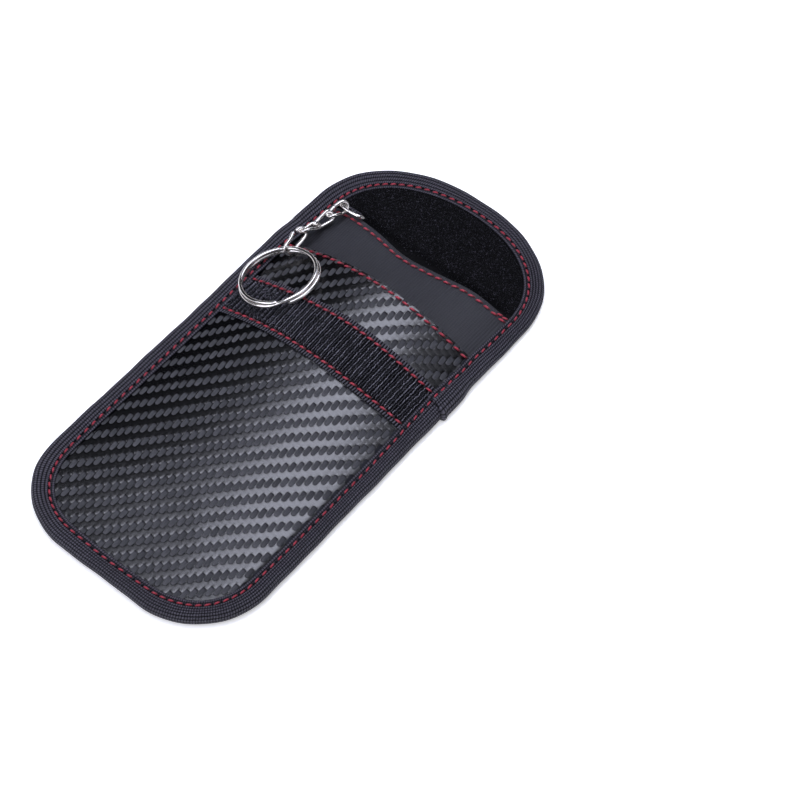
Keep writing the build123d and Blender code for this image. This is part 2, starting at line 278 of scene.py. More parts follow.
# ---- meshes -----------------------------------------------------------------
def mesh(name, verts, faces, uv, sharp=48.0):
    """A mesh from millimetres, y from the closed end. faces is an array of equal polygons or a list of such arrays; uv is one pair for each face corner, in mm."""
    v = np.array(verts, float)
    v[:, 1] -= OPEN / 2
    v *= 0.001
    me = bpy.data.meshes.new(name)
    groups = faces if isinstance(faces, list) else [faces]
    loops = np.concatenate([f.ravel() for f in groups])
    totals = np.concatenate([np.full(len(f), f.shape[1]) for f in groups])
    starts = np.concatenate([[0], np.cumsum(totals)[:-1]])
    me.vertices.add(len(v))
    me.vertices.foreach_set("co", v.astype(np.float32).ravel())
    me.loops.add(len(loops))
    me.loops.foreach_set("vertex_index", loops.astype(np.int32))
    me.polygons.add(len(starts))
    me.polygons.foreach_set("loop_start", starts.astype(np.int32))
    me.polygons.foreach_set("loop_total", totals.astype(np.int32))
    me.polygons.foreach_set("use_smooth", np.ones(len(starts), bool))
    layer = me.uv_layers.new(name="UVMap")
    layer.data.foreach_set("uv", (np.asarray(uv, float) / 100.0).astype(np.float32).ravel())
    me.update(calc_edges=True)
    me.validate()
    me.set_sharp_from_angle(angle=math.radians(sharp))
    o = bpy.data.objects.new(name, me)
    bpy.context.scene.collection.objects.link(o)
    return o


def slab(name, top, bottom, uv, uv_bottom=None, sharp=48.0):
    """A closed sheet between two grids of points, R x C x 3, with uv R x C x 2 in mm."""
    rows, cols = top.shape[:2]
    uv_bottom = uv if uv_bottom is None else uv_bottom
    verts = np.concatenate([top.reshape(-1, 3), bottom.reshape(-1, 3)])
    n = rows * cols
    i, j = np.meshgrid(np.arange(rows - 1), np.arange(cols - 1), indexing="ij")
    a = (i * cols + j).ravel()
    quad = np.stack([a, a + 1, a + cols + 1, a + cols], 1)
    flipped = quad[:, ::-1] + n
    edge = np.concatenate(
        [
            np.arange(cols),
            np.arange(1, rows) * cols + cols - 1,
            (rows - 1) * cols + np.arange(cols - 2, -1, -1),
            np.arange(rows - 2, 0, -1) * cols,
        ]
    )
    e0, e1 = edge, np.roll(edge, -1)
    rimq = np.stack([e0, e0 + n, e1 + n, e1], 1)
    faces = np.concatenate([quad, flipped, rimq])
    flat = np.concatenate([uv.reshape(-1, 2), uv_bottom.reshape(-1, 2)])
    return mesh(name, verts, faces, flat[faces.ravel()], sharp)


def lattice(ys, d, cols=89, y_end=None):
    """x and y of a grid across the outline moved in by d, one row for each y."""
    u = np.linspace(-1, 1, cols)
    ys = np.asarray(ys, float)
    hw = half_width(d, ys)
    x = hw[:, None] * u[None, :]
    y = np.repeat(ys[:, None], cols, 1)
    if y_end is not None:  # the last stretch follows a curved upper edge
        lo, hi = y_end
        last = ys[-1]
        t = np.clip((y - lo) / (last - lo), 0, 1)
        y = np.where(y > lo, lo + (hi(x) - lo) * t, y)
    return x, y


def rows_between(a, b, step, fine_start=False, fine_end=False):
    n = max(2, int(round((b - a) / step)) + 1)
    r = list(np.linspace(a, b, n))
    if fine_start:
        r = [a, a + 0.12, a + 0.3, a + 0.6] + [v for v in r[1:] if v > a + 0.8]
    if fine_end:
        r = [v for v in r if v < b - 0.8] + [
            b - 0.7, b - 0.52, b - 0.38, b - 0.26, b - 0.16, b - 0.08, b - 0.03, b,
        ]
    return np.array(r)


def stack(x, y, z):
    return np.stack([x, y, z], -1)


# ---- wires and threads ------------------------------------------------------
def tube(points, radius, sides=12, closed=False, lobes=0, twist=0.0, flat=1.0, ups=None, start=0):
    """Vertices, faces and uv of a wire along points. radius may vary. ups fixes the section's turn."""
    p = np.asarray(points, float)
    n = len(p)
    if closed:
        t = np.roll(p, -1, axis=0) - np.roll(p, 1, axis=0)
    else:
        t = np.gradient(p, axis=0)
    t /= np.linalg.norm(t, axis=1)[:, None]
    if ups is None:
        up = np.array([0.0, 0.0, 1.0])
        if abs(t[0] @ up) > 0.9:
            up = np.array([1.0, 0.0, 0.0])
        frames = []
        for k in range(n):
            up = up - t[k] * (t[k] @ up)
            up /= np.linalg.norm(up)
            frames.append(up)
        ups = np.array(frames)
        if closed:  # spread the leftover turn along the loop
            last = ups[-1] - t[0] * (ups[-1] @ t[0])
            last /= np.linalg.norm(last)
            side = np.cross(t[0], ups[0])
            turn = math.atan2(last @ side, last @ ups[0])
            for k in range(n):
                a = -turn * k / n
                s = np.cross(t[k], ups[k])
                ups[k] = ups[k] * math.cos(a) + s * math.sin(a)
    else:
        ups = np.asarray(ups, float)
        ups = ups - t * (t * ups).sum(1)[:, None]
        ups /= np.linalg.norm(ups, axis=1)[:, None]
    side = np.cross(t, ups)
    r = np.broadcast_to(np.asarray(radius, float), (n,))
    a = np.arange(sides) / sides * math.tau
    rr = r[:, None] * np.ones(sides)[None, :]
    if lobes:
        rr = rr * (
            1 + 0.13 * np.cos(lobes * (a[None, :] + twist * np.arange(n)[:, None]))
        )
    v = (
        p[:, None, :]
        + side[:, None, :] * (rr * np.cos(a)[None, :])[..., None]
        + ups[:, None, :] * (rr * np.sin(a)[None, :] * flat)[..., None]
    )
    step = np.linalg.norm(np.roll(p, -1, axis=0) - p, axis=1)
    count = n if closed else n - 1
    u0 = np.concatenate([[0], np.cumsum(step)])[:count]
    u1 = u0 + step[:count]
    k, m = np.meshgrid(np.arange(count), np.arange(sides), indexing="ij")
    k2, m2 = (k + 1) % n, (m + 1) % sides
    quads = np.stack(
        [k * sides + m, k2 * sides + m, k2 * sides + m2, k * sides + m2], -1
    ).reshape(-1, 4)
    ua, ub = np.broadcast_to(u0[:, None], k.shape), np.broadcast_to(u1[:, None], k.shape)
    va, vb = m * 2.0 / sides, (m + 1) * 2.0 / sides
    uv = np.stack([ua, va, ub, va, ub, vb, ua, vb], -1).reshape(-1, 2)
    caps, cap_uv = np.zeros((0, sides), int), np.zeros((0, 2))
    if not closed:
        ring_of = np.arange(sides)
        caps = np.stack([ring_of, (n - 1) * sides + ring_of[::-1]])
        c = np.stack([0.3 * np.cos(a), 0.3 * np.sin(a)], 1)
        cap_uv = np.concatenate([c, c[::-1]])
    return v.reshape(-1, 3), quads + start, uv, caps + start, cap_uv


class Batch:
    """Many wires in one mesh."""

    def __init__(self):
        self.parts, self.n = [], 0

    def add(self, points, radius, **more):
        part = tube(points, radius, start=self.n, **more)
        self.parts.append(part)
        self.n += len(part[0])

    def make(self, name, sharp=60.0):
        v, quads, uv, caps, cap_uv = (np.concatenate(c) for c in zip(*self.parts))
        faces = [quads, caps] if len(caps) else [quads]
        return mesh(name, v, faces, np.concatenate([uv, cap_uv]), sharp)


def stitch(batch, centre, along, up, length=2.45, width=0.60, lean=8.0, seed=0):
    """One machine stitch: a plied thread that rises from one hole and dives into the next."""
    r = np.random.default_rng(seed)
    along = np.asarray(along, float) / np.linalg.norm(along)
    up = np.asarray(up, float) - along * (along @ np.asarray(up, float))
    up /= np.linalg.norm(up)
    side = np.cross(up, along)
    a = math.radians(lean + r.uniform(-4.5, 4.5))
    go = along * math.cos(a) + side * math.sin(a)
    length *= r.uniform(0.94, 1.05)
    tau = np.linspace(-1, 1, 11)
    lift = 0.10 + 0.20 * (1 - np.abs(tau) ** 2.4) - 0.42 * np.abs(tau) ** 7
    p = (
        np.asarray(centre, float)
        + go[None, :] * (tau * length / 2)[:, None]
        + up[None, :] * (lift + r.uniform(-0.02, 0.02))[:, None]
    )
    radius = width / 2 * (1 - 0.42 * np.abs(tau) ** 3.5)
    batch.add(
        p, radius, sides=9, lobes=3, twist=0.42, flat=0.78, ups=np.repeat(up[None, :], 11, 0)
    )


# ---- materials --------------------------------------------------------------
class Net:
    """A procedural material; values are wrapped so that they can be added and multiplied."""

    def __init__(self, name, **sockets):
        self.mat = bpy.data.materials.new(name)
        self.mat.use_nodes = True
        self.nt = self.mat.node_tree
        self.nt.nodes.clear()
        out = self.nt.nodes.new("ShaderNodeOutputMaterial")
        self.bsdf = self.nt.nodes.new("ShaderNodeBsdfPrincipled")
        self.nt.links.new(self.bsdf.outputs[0], out.inputs[0])
        for k, v in sockets.items():
            self.bsdf.inputs[k.replace("_", " ")].default_value = v

    def node(self, kind, **props):
        n = self.nt.nodes.new(kind)
        for k, v in props.items():
            setattr(n, k, v)
        return n

    def put(self, socket, value):
        if isinstance(value, Val):
            self.nt.links.new(value.s, socket)
        else:
            socket.default_value = value

    def math(self, op, *args, clamp=False):
        n = self.node("ShaderNodeMath", operation=op, use_clamp=clamp)
        for k, a in enumerate(args):
            self.put(n.inputs[k], a)
        return Val(self, n.outputs[0])

    def uv(self, sx=1.0, sy=1.0):
        """The stored map's two distances, in millimetres."""
        n = self.node("ShaderNodeUVMap", uv_map="UVMap")
        s = self.node("ShaderNodeSeparateXYZ")
        self.nt.links.new(n.outputs[0], s.inputs[0])
        return Val(self, s.outputs[0]) * (100.0 * sx), Val(self, s.outputs[1]) * (100.0 * sy)

    def vec(self, x, y, z=0.0):
        n = self.node("ShaderNodeCombineXYZ")
        for k, a in enumerate((x, y, z)):
            self.put(n.inputs[k], a)
        return Val(self, n.outputs[0])

    def noise(self, vector, scale, detail=2.0, rough=0.5):
        n = self.node("ShaderNodeTexNoise")
        self.put(n.inputs["Vector"], vector)
        n.inputs["Scale"].default_value = scale
        n.inputs["Detail"].default_value = detail
        n.inputs["Roughness"].default_value = rough
        return Val(self, n.outputs[0])

    def cells(self, vector, scale, feature="F1"):
        n = self.node("ShaderNodeTexVoronoi", feature=feature)
        self.put(n.inputs["Vector"], vector)
        n.inputs["Scale"].default_value = scale
        return Val(self, n.outputs["Distance"])

    def object_mm(self):
        n = self.node("ShaderNodeTexCoord")
        m = self.node("ShaderNodeVectorMath", operation="SCALE")
        self.nt.links.new(n.outputs["Object"], m.inputs[0])
        m.inputs["Scale"].default_value = 1000.0
        return Val(self, m.outputs[0])

    def step(self, value, a, b):
        """0 below a and 1 above b, smoothly."""
        n = self.node("ShaderNodeMapRange", interpolation_type="SMOOTHSTEP")
        self.put(n.inputs["Value"], value)
        n.inputs["From Min"].default_value = a
        n.inputs["From Max"].default_value = b
        return Val(self, n.outputs[0])

    def mix(self, t, a, b):
        """Between two colours."""
        n = self.node("ShaderNodeMix", data_type="RGBA")
        self.put(n.inputs[0], t)
        for k, c in ((6, a), (7, b)):
            self.put(n.inputs[k], c if isinstance(c, Val) else (*c, 1.0))
        return Val(self, n.outputs[2])

    def shade(self, colour, value):
        """A colour times a value."""
        n = self.node("ShaderNodeVectorMath", operation="SCALE")
        self.put(n.inputs[0], colour if isinstance(colour, Val) else tuple(colour))
        self.put(n.inputs["Scale"], value)
        return Val(self, n.outputs[0])

    def bump(self, height, mm, strength=1.0):
        n = self.node("ShaderNodeBump")
        self.put(n.inputs["Height"], height)
        n.inputs["Distance"].default_value = mm * 0.001
        n.inputs["Strength"].default_value = strength
        self.nt.links.new(n.outputs[0], self.bsdf.inputs["Normal"])

    def out(self, **sockets):
        for k, v in sockets.items():
            self.put(self.bsdf.inputs[k.replace("_", " ")], v)
        return self.mat


class Val:
    def __init__(self, net, socket):
        self.net, self.s = net, socket

    def __add__(self, o):
        return self.net.math("ADD", self, o)

    __radd__ = __add__

    def __sub__(self, o):
        return self.net.math("SUBTRACT", self, o)

    def __rsub__(self, o):
        return self.net.math("SUBTRACT", o, self)

    def __mul__(self, o):
        return self.net.math("MULTIPLY", self, o)

    __rmul__ = __mul__

    def __truediv__(self, o):
        return self.net.math("DIVIDE", self, o)

    def __neg__(self):
        return self * -1.0

    def abs(self):
        return self.net.math("ABSOLUTE", self)

    def pow(self, e):
        return self.net.math("POWER", self, e)

    def floor(self):
        return self.net.math("FLOOR", self)

    def mod(self, m):
        """Always from 0 to m."""
        return self - self.net.math("FLOOR", self / m) * m

    def sin(self):
        return self.net.math("SINE", self)

    def cos(self):
        return self.net.math("COSINE", self)

    def max(self, o):
        return self.net.math("MAXIMUM", self, o)

    def min(self, o):
        return self.net.math("MINIMUM", self, o)


def twill_material():
    """Coated cloth embossed as a two-by-two twill of broad tows."""
    m = Net(
        "carbon_twill",
        Anisotropic=1.0,
        Specular_IOR_Level=0.9,
        IOR=1.5,
    )
    x, y = m.uv()
    where = m.vec(x, y)
    # tows aren't drawn quite straight
    x = x + (m.noise(where, 0.06, 1.0) - 0.5) * 1.1
    y = y + (m.noise(where, 0.05, 1.0) - 0.5) * 1.1
    ragged = m.noise(m.vec(x, y), 1.6, 2.0)
    a, b = x / 1.78, y / 1.82
    i, j = a.floor(), b.floor()
    across = a - i - 0.5
    # along a lengthwise float, -1 at its lower end and 1 where it dives under
    t = ((b - i + 2.0).mod(4.0) - 2.0) / 0.985
    below = (-t).max(0.0).min(1.3)
    above = t.max(0.0).min(1.3)
    wide = 0.485 - below.pow(2.0) * 0.11 - above.pow(4.0) * 0.05
    c = (across + t * 0.045 + (ragged - 0.5) * 0.05) / wide
    r1 = c.abs().pow(3.0) + t.abs().pow(4.0) * 0.35 + above.pow(10.0) * 0.65 + below.pow(5.0) * 0.65
    warp = 1.0 - m.step(r1, 0.80, 1.12)
    dome1 = (1.0 - (c * c) * 0.75).max(0.0)
    walong = (a - j - 1.0).mod(4.0) - 2.0
    wacross = b - j - 0.5
    r2 = (wacross * 2.02).abs().pow(4.0) + (walong * 0.97).abs().pow(6.0)
    dome2 = (1.0 - r2.min(1.0)).max(0.0)
    # the crosswise tow stands over the lengthwise one at its upper end; its lip also gets a painted highlight, and the
    # float's top where it dives gets painted shadow
    lip_and_painted_highlight = m.step(t, 0.90, 1.08) * (1.0 - m.step(t, 1.08, 1.60)) * (1.0 - m.step(c.abs(), 0.40, 1.08))
    # painted shade: this mask of the gaps between tows is used only to darken them
    gap_shade = m.step(r1, 0.72, 1.05) * (1.0 - m.step(r1, 1.35, 2.6))
    dive_and_painted_shadow = m.step(t, 0.62, 0.99) * warp
    # filaments inside each tow
    thread1 = m.noise(m.vec(x * 5.2, y * 0.55), 1.0, 2.0, 0.6)
    thread2 = m.noise(m.vec(x * 0.55, y * 5.2), 1.0, 2.0, 0.6)
    grain = m.noise(m.vec(x, y), 5.0, 3.0, 0.6)
    # no two floats took the coating quite alike
    lot = m.noise(m.vec(i * 5.71 + 0.37, ((b - i + 2.0) / 4.0).floor() * 3.43 + 0.61), 1.0, 1.0)
    lot = 1.0 + (lot - 0.5) * warp * 1.1
    height = (
        warp * (dome1 * 0.80 + 0.30 - dive_and_painted_shadow * 0.45 + thread1 * 0.14)
        + (1.0 - warp) * (dome2 * 0.16 + lip_and_painted_highlight * 0.12 + thread2 * 0.12)
        + grain * 0.03
    )
    colour = m.mix(warp, (0.0009, 0.0010, 0.0016), (0.0165, 0.0170, 0.0216))
    # painted shade: the base colour is darkened in the gaps and where each lengthwise float dives under
    colour = m.shade(colour, lot * (1.0 - dive_and_painted_shadow * 0.4) * (0.75 + thread1 * 0.5) * (1.0 - gap_shade * 0.6))
    # specular tint: fibre streaks and float-to-float tone, plus painted shade in the gaps and at the dives and a
    # painted highlight on the lip
    spec_tint_tone_and_shade = (1.0 - gap_shade * 0.46) * (1.0 - dive_and_painted_shadow * 0.50) * (1.0 + lip_and_painted_highlight * 0.10)
    spec_tint_tone_and_shade = spec_tint_tone_and_shade * (0.40 + (thread2 * (1.0 - warp) + thread1 * warp) * 1.20)
    # painted shade where it tucks in beside the tape
    spec_tint_tone_and_shade = spec_tint_tone_and_shade * lot * (1.0 - m.step(x.abs(), 36.4, 38.0) * 0.85)
    worn = m.noise(where, 0.035, 3.0)
    rough = 0.265 + warp * (0.325 - below * 0.16) + (grain - 0.5) * 0.05 + (worn - 0.5) * 0.03
    m.bump(height, 0.27, 1.0)
    # fibres run along y in lengthwise floats and along x in the others
    g = m.node("ShaderNodeTangent", direction_type="UV_MAP", uv_map="UVMap")
    m.nt.links.new(g.outputs[0], m.bsdf.inputs["Tangent"])
    return m.out(
        Base_Color=colour,
        Roughness=rough,
        Anisotropic_Rotation=(1.0 - warp) * 0.25,
        Specular_Tint=spec_tint_tone_and_shade,
    )


def smooth_pu_material():
    m = Net("smooth_pu", Specular_IOR_Level=0.34, IOR=1.5)
    x, y = m.uv()
    where = m.vec(x, y)
    grain = m.cells(where, 2.6)
    fine = m.noise(where, 7.0, 3.0, 0.6)
    ribs = (x * (math.tau / 0.95)).sin() * 0.5 + 0.5
    picks = (y * (math.tau / 0.70) + (x * (math.tau / 0.95)).sin() * 0.8).sin() * 0.5 + 0.5
    backing = ribs * 0.65 + picks * 0.35
    creases = m.noise(m.vec(x * 0.35, y * 1.6), 0.28, 3.0, 0.55)
    broad = m.noise(where, 0.07, 2.0)
    m.bump(grain * 0.5 + fine * 0.4 + backing * 1.1 + creases * 1.2, 0.09, 0.9)
    colour = m.mix(broad, (0.0165, 0.0165, 0.0205), (0.0215, 0.0215, 0.0266))
    return m.out(
        Base_Color=m.shade(colour, 0.55 + grain * 0.30 + backing * 0.50),
        Roughness=0.56 + (fine - 0.5) * 0.14 + (broad - 0.5) * 0.10,
    )


RIB = 1.05  # spacing of the tape's lengthwise ribs
HOOK_COLUMN = 0.885


def tape_material():
    """Ribbed polyester tape: u runs along it and v across, in mm."""
    m = Net("binding_tape", Specular_IOR_Level=0.25, Sheen_Weight=0.02, Sheen_Roughness=0.4)
    m.bsdf.inputs["Sheen Tint"].default_value = (0.75, 0.78, 0.95, 1.0)
    u, v = m.uv()
    place = m.vec(u, v)
    sway = (m.noise(place, 0.5, 2.0) - 0.5) * 0.30
    b = v / RIB
    rib = b.floor()
    # the picks lie askew where the tape is drawn round the flap
    flap = m.step(u, 150.0, 185.0) * (1.0 - m.step(u, 318.0, 352.0))
    a = (u + sway + v * (flap * 0.55 + 0.12)) / 0.90 + rib.mod(2.0) * 0.12
    fa, fb = (a - a.floor() - 0.5) * 2.0, (b - rib - 0.5) * 2.0
    pick = (1.0 - fa.abs().pow(2.0)).max(0.0)
    ridge = (1.0 - fb.abs().pow(2.2)).max(0.0)
    yarn = (u * (math.tau / 0.13) + v * (math.tau / 0.45)).sin() * 0.5 + 0.5
    fuzz = m.noise(m.vec(u, v * 1.4), 3.6, 4.0, 0.7)
    loose = m.noise(place, 1.3, 2.0)
    cell = pick.pow(0.9) * ridge.pow(1.1)
    # painted highlight on the woven cells and painted shade in the gaps between them, with a random tone
    lit = cell * (0.30 + loose * 1.25)
    height = cell * 1.3 + ridge * 0.4 + yarn * 0.10 + fuzz * 0.35
    colour = m.mix(
        (lit * 1.10 + fuzz * 0.25 + yarn * 0.05 - 0.24).max(0.0).min(1.0),
        (0.0012, 0.0013, 0.0019),
        (0.102, 0.096, 0.118),
    )
    broad = m.noise(place, 0.05, 2.0)
    # painted shadow in the needle's holes and in the groove that the seam draws
    line = (v - (TAPE_W - SEAM_IN)) / 0.55
    near = 1.0 - m.step(line.abs(), 0.35, 1.25)
    hole = ((u * (math.tau / PITCH)).cos() * 0.5 + 0.5).pow(3.0)
    shadow = 1.0 - near * (hole * 0.62 + 0.30)
    m.bump(height, 0.17, 0.9)
    # the specular tint is lowered in the gaps between cells and at the seam: painted shade
    return m.out(
        Base_Color=m.shade(colour, (0.75 + broad * 0.5) * shadow),
        Roughness=0.60 + fuzz * 0.2,
        Specular_Tint=(0.25 + cell * 0.95) * shadow,
    )


def thread_material():
    m = Net("red_thread", Specular_IOR_Level=0.5, Sheen_Weight=0.12, Sheen_Roughness=0.35)
    m.bsdf.inputs["Sheen Tint"].default_value = (1.0, 0.5, 0.55, 1.0)
    u, v = m.uv()
    ply = (u * (math.tau / 0.62) + v * (math.tau / 0.67)).sin() * 0.5 + 0.5
    hair = m.noise(m.vec(u * 2.0, v * 9.0), 3.0, 2.0, 0.6)
    # painted shade where it goes down into the cloth
    ends = m.step((u / 2.45 - 0.5).abs(), 0.17, 0.45)
    shade = (0.58 + ply * 0.50 + hair * 0.32) * (1.0 - ends * 0.74)
    m.bump(ply * 0.7 + hair * 0.5, 0.06, 0.7)
    return m.out(
        Base_Color=m.shade((0.40, 0.028, 0.050), shade), Roughness=0.44 + hair * 0.15
    )


def velour_material():
    m = Net("loop_velour", Specular_IOR_Level=0.12, Sheen_Weight=0.03, Sheen_Roughness=0.6)
    x, y = m.uv()
    tuft = m.cells(m.vec(x, y), 1.7)
    curl = m.noise(m.vec(x, y), 3.2, 4.0, 0.7)
    strands = m.noise(m.vec(x * 0.5, y * 2.2), 2.4, 4.0, 0.75)
    m.bump(tuft * 0.5 + curl * 0.9 + strands * 0.8, 0.28, 0.9)
    return m.out(
        Base_Color=m.mix(curl * strands, (0.0010, 0.0010, 0.0014), (0.0045, 0.0045, 0.0058)),
        Roughness=0.9 + tuft * 0.05,
    )


def pile_material():
    m = Net("loop_pile", Specular_IOR_Level=0.2)
    p = m.object_mm()
    n = m.noise(p, 1.5, 3.0, 0.7)
    broad = m.noise(p, 0.16, 2.0)
    return m.out(
        Base_Color=m.mix(
            m.step(n, 0.50, 0.66) * (0.4 + broad), (0.0008, 0.0008, 0.0012), (0.125, 0.122, 0.155)
        ),
        Roughness=0.48 + n * 0.2,
    )


def hook_material():
    """Nylon hooks; every second column and random patches are painted lighter, as a painted highlight."""
    m = Net("hook_nylon", Specular_IOR_Level=0.5)
    p = m.object_mm()
    s = m.node("ShaderNodeSeparateXYZ")
    m.nt.links.new(p.s, s.inputs[0])
    x = Val(m, s.outputs[0])
    column = (x * (math.tau / (2 * HOOK_COLUMN))).cos() * 0.5 + 0.5
    n = m.noise(p, 1.6, 4.0, 0.7)
    patch = m.noise(p, 0.22, 2.0)
    tangled = 1.0 - m.step(x, -24.0, -12.0)
    # painted highlight: light base colour on every second column and in random patches, less regular where the hooks
    # are tangled
    pick = m.step(
        column * (0.42 - tangled * 0.36) + (n - 0.5) * 2.7 + (patch - 0.5) * 0.9 + 0.34 + tangled * 0.16,
        0.40,
        1.05,
    )
    return m.out(
        Base_Color=m.mix(pick, (0.0350, 0.0350, 0.0440), (0.300, 0.294, 0.350)),
        Roughness=0.34 + n * 0.2,
    )


def strip_material():
    m = Net("hook_tape", Specular_IOR_Level=0.3, Sheen_Weight=0.04, Sheen_Roughness=0.5)
    x, y = m.uv()
    selvedge = m.step((y - 108.25).abs(), 7.55, 7.8)
    rib = (x * (math.tau / 1.02)).cos() * 0.5 + 0.5
    pick = (y * (math.tau / 0.45)).sin() * 0.5 + 0.5
    fuzz = m.noise(m.vec(x, y), 3.5, 3.0, 0.65)
    # painted highlight on the ribs, stronger on the selvedges; the field between the selvedges is kept darker
    lit = rib.pow(1.8) * (0.35 + selvedge * 1.05) + fuzz * 0.35 - 0.22
    line = (((y - 108.25).abs() - 8.0) / 0.45).abs()
    shadow = 1.0 - (1.0 - m.step(line, 0.5, 1.5)) * 0.75
    m.bump(rib * 0.8 + pick * 0.3 + fuzz * 0.5, 0.12, 0.9)
    # the specular tint is lowered between the ribs: painted shade
    return m.out(
        Base_Color=m.mix(
            lit.max(0.0).min(1.0) * (0.30 + selvedge * 0.70) * shadow,
            (0.0010, 0.0010, 0.0015),
            (0.088, 0.086, 0.105),
        ),
        Specular_Tint=(0.15 + rib * 0.85) * (0.4 + selvedge * 0.6),
        Roughness=0.6 + fuzz * 0.2,
    )


def shield_material():
    """Fine conductive ripstop."""
    m = Net("shield_ripstop", Metallic=0.55, Specular_IOR_Level=0.5)
    x, y = m.uv()
    gx = 1.0 - m.step((x.mod(4.0) - 2.0).abs(), 0.12, 0.3)
    gy = 1.0 - m.step((y.mod(4.0) - 2.0).abs(), 0.12, 0.3)
    grid = gx.max(gy)
    wx = (x * (math.tau / 0.34)).sin()
    wy = (y * (math.tau / 0.34)).sin()
    weave = wx * wy * 0.5 + 0.5
    crush = m.noise(m.vec(x, y), 0.22, 4.0, 0.6)
    m.bump(weave * 0.5 + grid * 0.6 + crush * 2.2, 0.07, 0.8)
    return m.out(
        Base_Color=m.mix(grid * 0.6 + weave * 0.25, (0.20, 0.20, 0.205), (0.34, 0.34, 0.345)),
        Roughness=0.42 + crush * 0.2,
    )


def lining_material():
    m = Net("plain_lining", Specular_IOR_Level=0.3, Sheen_Weight=0.1)
    x, y = m.uv()
    wx = (x * (math.tau / 0.42)).sin()
    wy = (y * (math.tau / 0.42)).sin()
    weave = wx * wy * 0.5 + 0.5
    crush = m.noise(m.vec(x, y), 0.3, 3.0)
    m.bump(weave * 0.6 + crush, 0.07, 0.8)
    return m.out(
        Base_Color=m.mix(weave, (0.010, 0.010, 0.012), (0.024, 0.024, 0.027)),
        Roughness=0.72 + crush * 0.12,
    )


def nickel_material():
    m = Net("nickel", Metallic=1.0)
    u, v = m.uv()
    p = m.object_mm()
    cloud = m.noise(p, 0.55, 3.0)
    drawn = m.noise(m.vec(u * 0.25, v * 9.0), 2.2, 3.0, 0.6)
    pits = m.noise(p, 6.0, 2.0, 0.7)
    m.bump(drawn * 0.5 + pits * 0.30, 0.004, 0.45)
    return m.out(
        Base_Color=m.mix(cloud, (0.80, 0.765, 0.72), (0.90, 0.875, 0.84)),
        Roughness=0.13 + cloud * 0.10 + pits * 0.05,
    )


MAT = {
    "twill": twill_material(),
    "pu": smooth_pu_material(),
    "tape": tape_material(),
    "thread": thread_material(),
    "velour": velour_material(),
    "pile": pile_material(),
    "hook": hook_material(),
    "strip": strip_material(),
    "shield": shield_material(),
    "lining": lining_material(),
    "nickel": nickel_material(),
}


def finishing(o, material):
    o.data.materials.clear()
    o.data.materials.append(MAT[material])
    return o


def at(y, z=1.0):
    """A point on the middle line, in metres in the row frame."""
    return (0.0, (y - OPEN / 2) / 1000, z / 1000)


LOW_BEND = (at(134.0), at(142.0))
HIGH_BEND = (at(145.5), at(153.0))


def across_fold(a, b):
    """Bakes both pieces' transforms into their meshes."""
    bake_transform(a)
    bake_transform(b)


LOWER_ROWS = np.concatenate(
    [
        [2.8, 3.0, 3.4, 4.0, 4.8, 5.8, 7.0, 8.4, 10.0],
        np.arange(11.5, 132.0, 1.5),
        np.arange(132.5, CUT_Y - 0.2, 0.7),
        [CUT_Y],
    ]
)
UPPER_ROWS = np.concatenate(
    [
        [CUT_Y],
        np.arange(CUT_Y + 0.7, 155.0, 0.7),
        np.arange(156.0, 180.0, 1.4),
        [180.5, 182.0, 183.4, 184.6, 185.5, 186.2, 186.7, 187.0],
    ]
)


def flat_area(ys, d):
    y = np.linspace(ys[0], ys[-1], 400)
    return float(np.mean(2 * half_width(d, y)) * (ys[-1] - ys[0])) * 1e-6


# ---- outer panel ------------------------------------------------------------
def back_under(x, y):
    d = inset_of(x, y)
    lift = 0.56 * (1 - smooth(6.9, 8.4, d))
    field = smooth(9, 16, d)
    return lift + field * 0.10 * (1 + wobble(x, y, 40, 21)) * 0.6


shell = []
for name, ys in (("outer_panel_lower", LOWER_ROWS), ("outer_panel_upper", UPPER_ROWS)):
    x, y = lattice(ys, 2.8)
    z = back_under(x, y)
    uv = np.stack([-x, y], -1)
    o = slab(name, stack(x, y, z + 0.9), stack(x, y, z), uv)
    finishing(o, "twill")
    shell.append(o)
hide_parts("back_panel", "fold_panel")
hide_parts("fold_panel", "flap_panel")
across_fold(*shell)

# ---- conductive lining ------------------------------------------------------
def lining_top(x, y):
    d = inset_of(x, y)
    field = smooth(9.5, 16, d)
    return (
        1.30
        + 0.50 * (1 - smooth(7.4, 9.4, d))
        + field * 0.09 * (1 + wobble(x, y, 17, 31)) * 0.7
    )


shield = []
for name, ys in (("shield_lining_lower", LOWER_ROWS), ("shield_lining_upper", UPPER_ROWS)):
    x, y = lattice(ys, 3.0)
    z = lining_top(x, y)
    o = slab(name, stack(x, y, z), stack(x, y, z - 0.2), np.stack([x, y], -1))
    finishing(o, "shield")
    shield.append(o)
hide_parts("back_shield_lining", "fold_shield_lining")
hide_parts("fold_shield_lining", "flap_shield_lining")
across_fold(*shield)

# ---- middle panel and the lining sewn behind it -----------------------------
def upper_mid_rows(fine):
    return rows_between(CUT_Y, 156.0, 0.7, fine_end=fine)


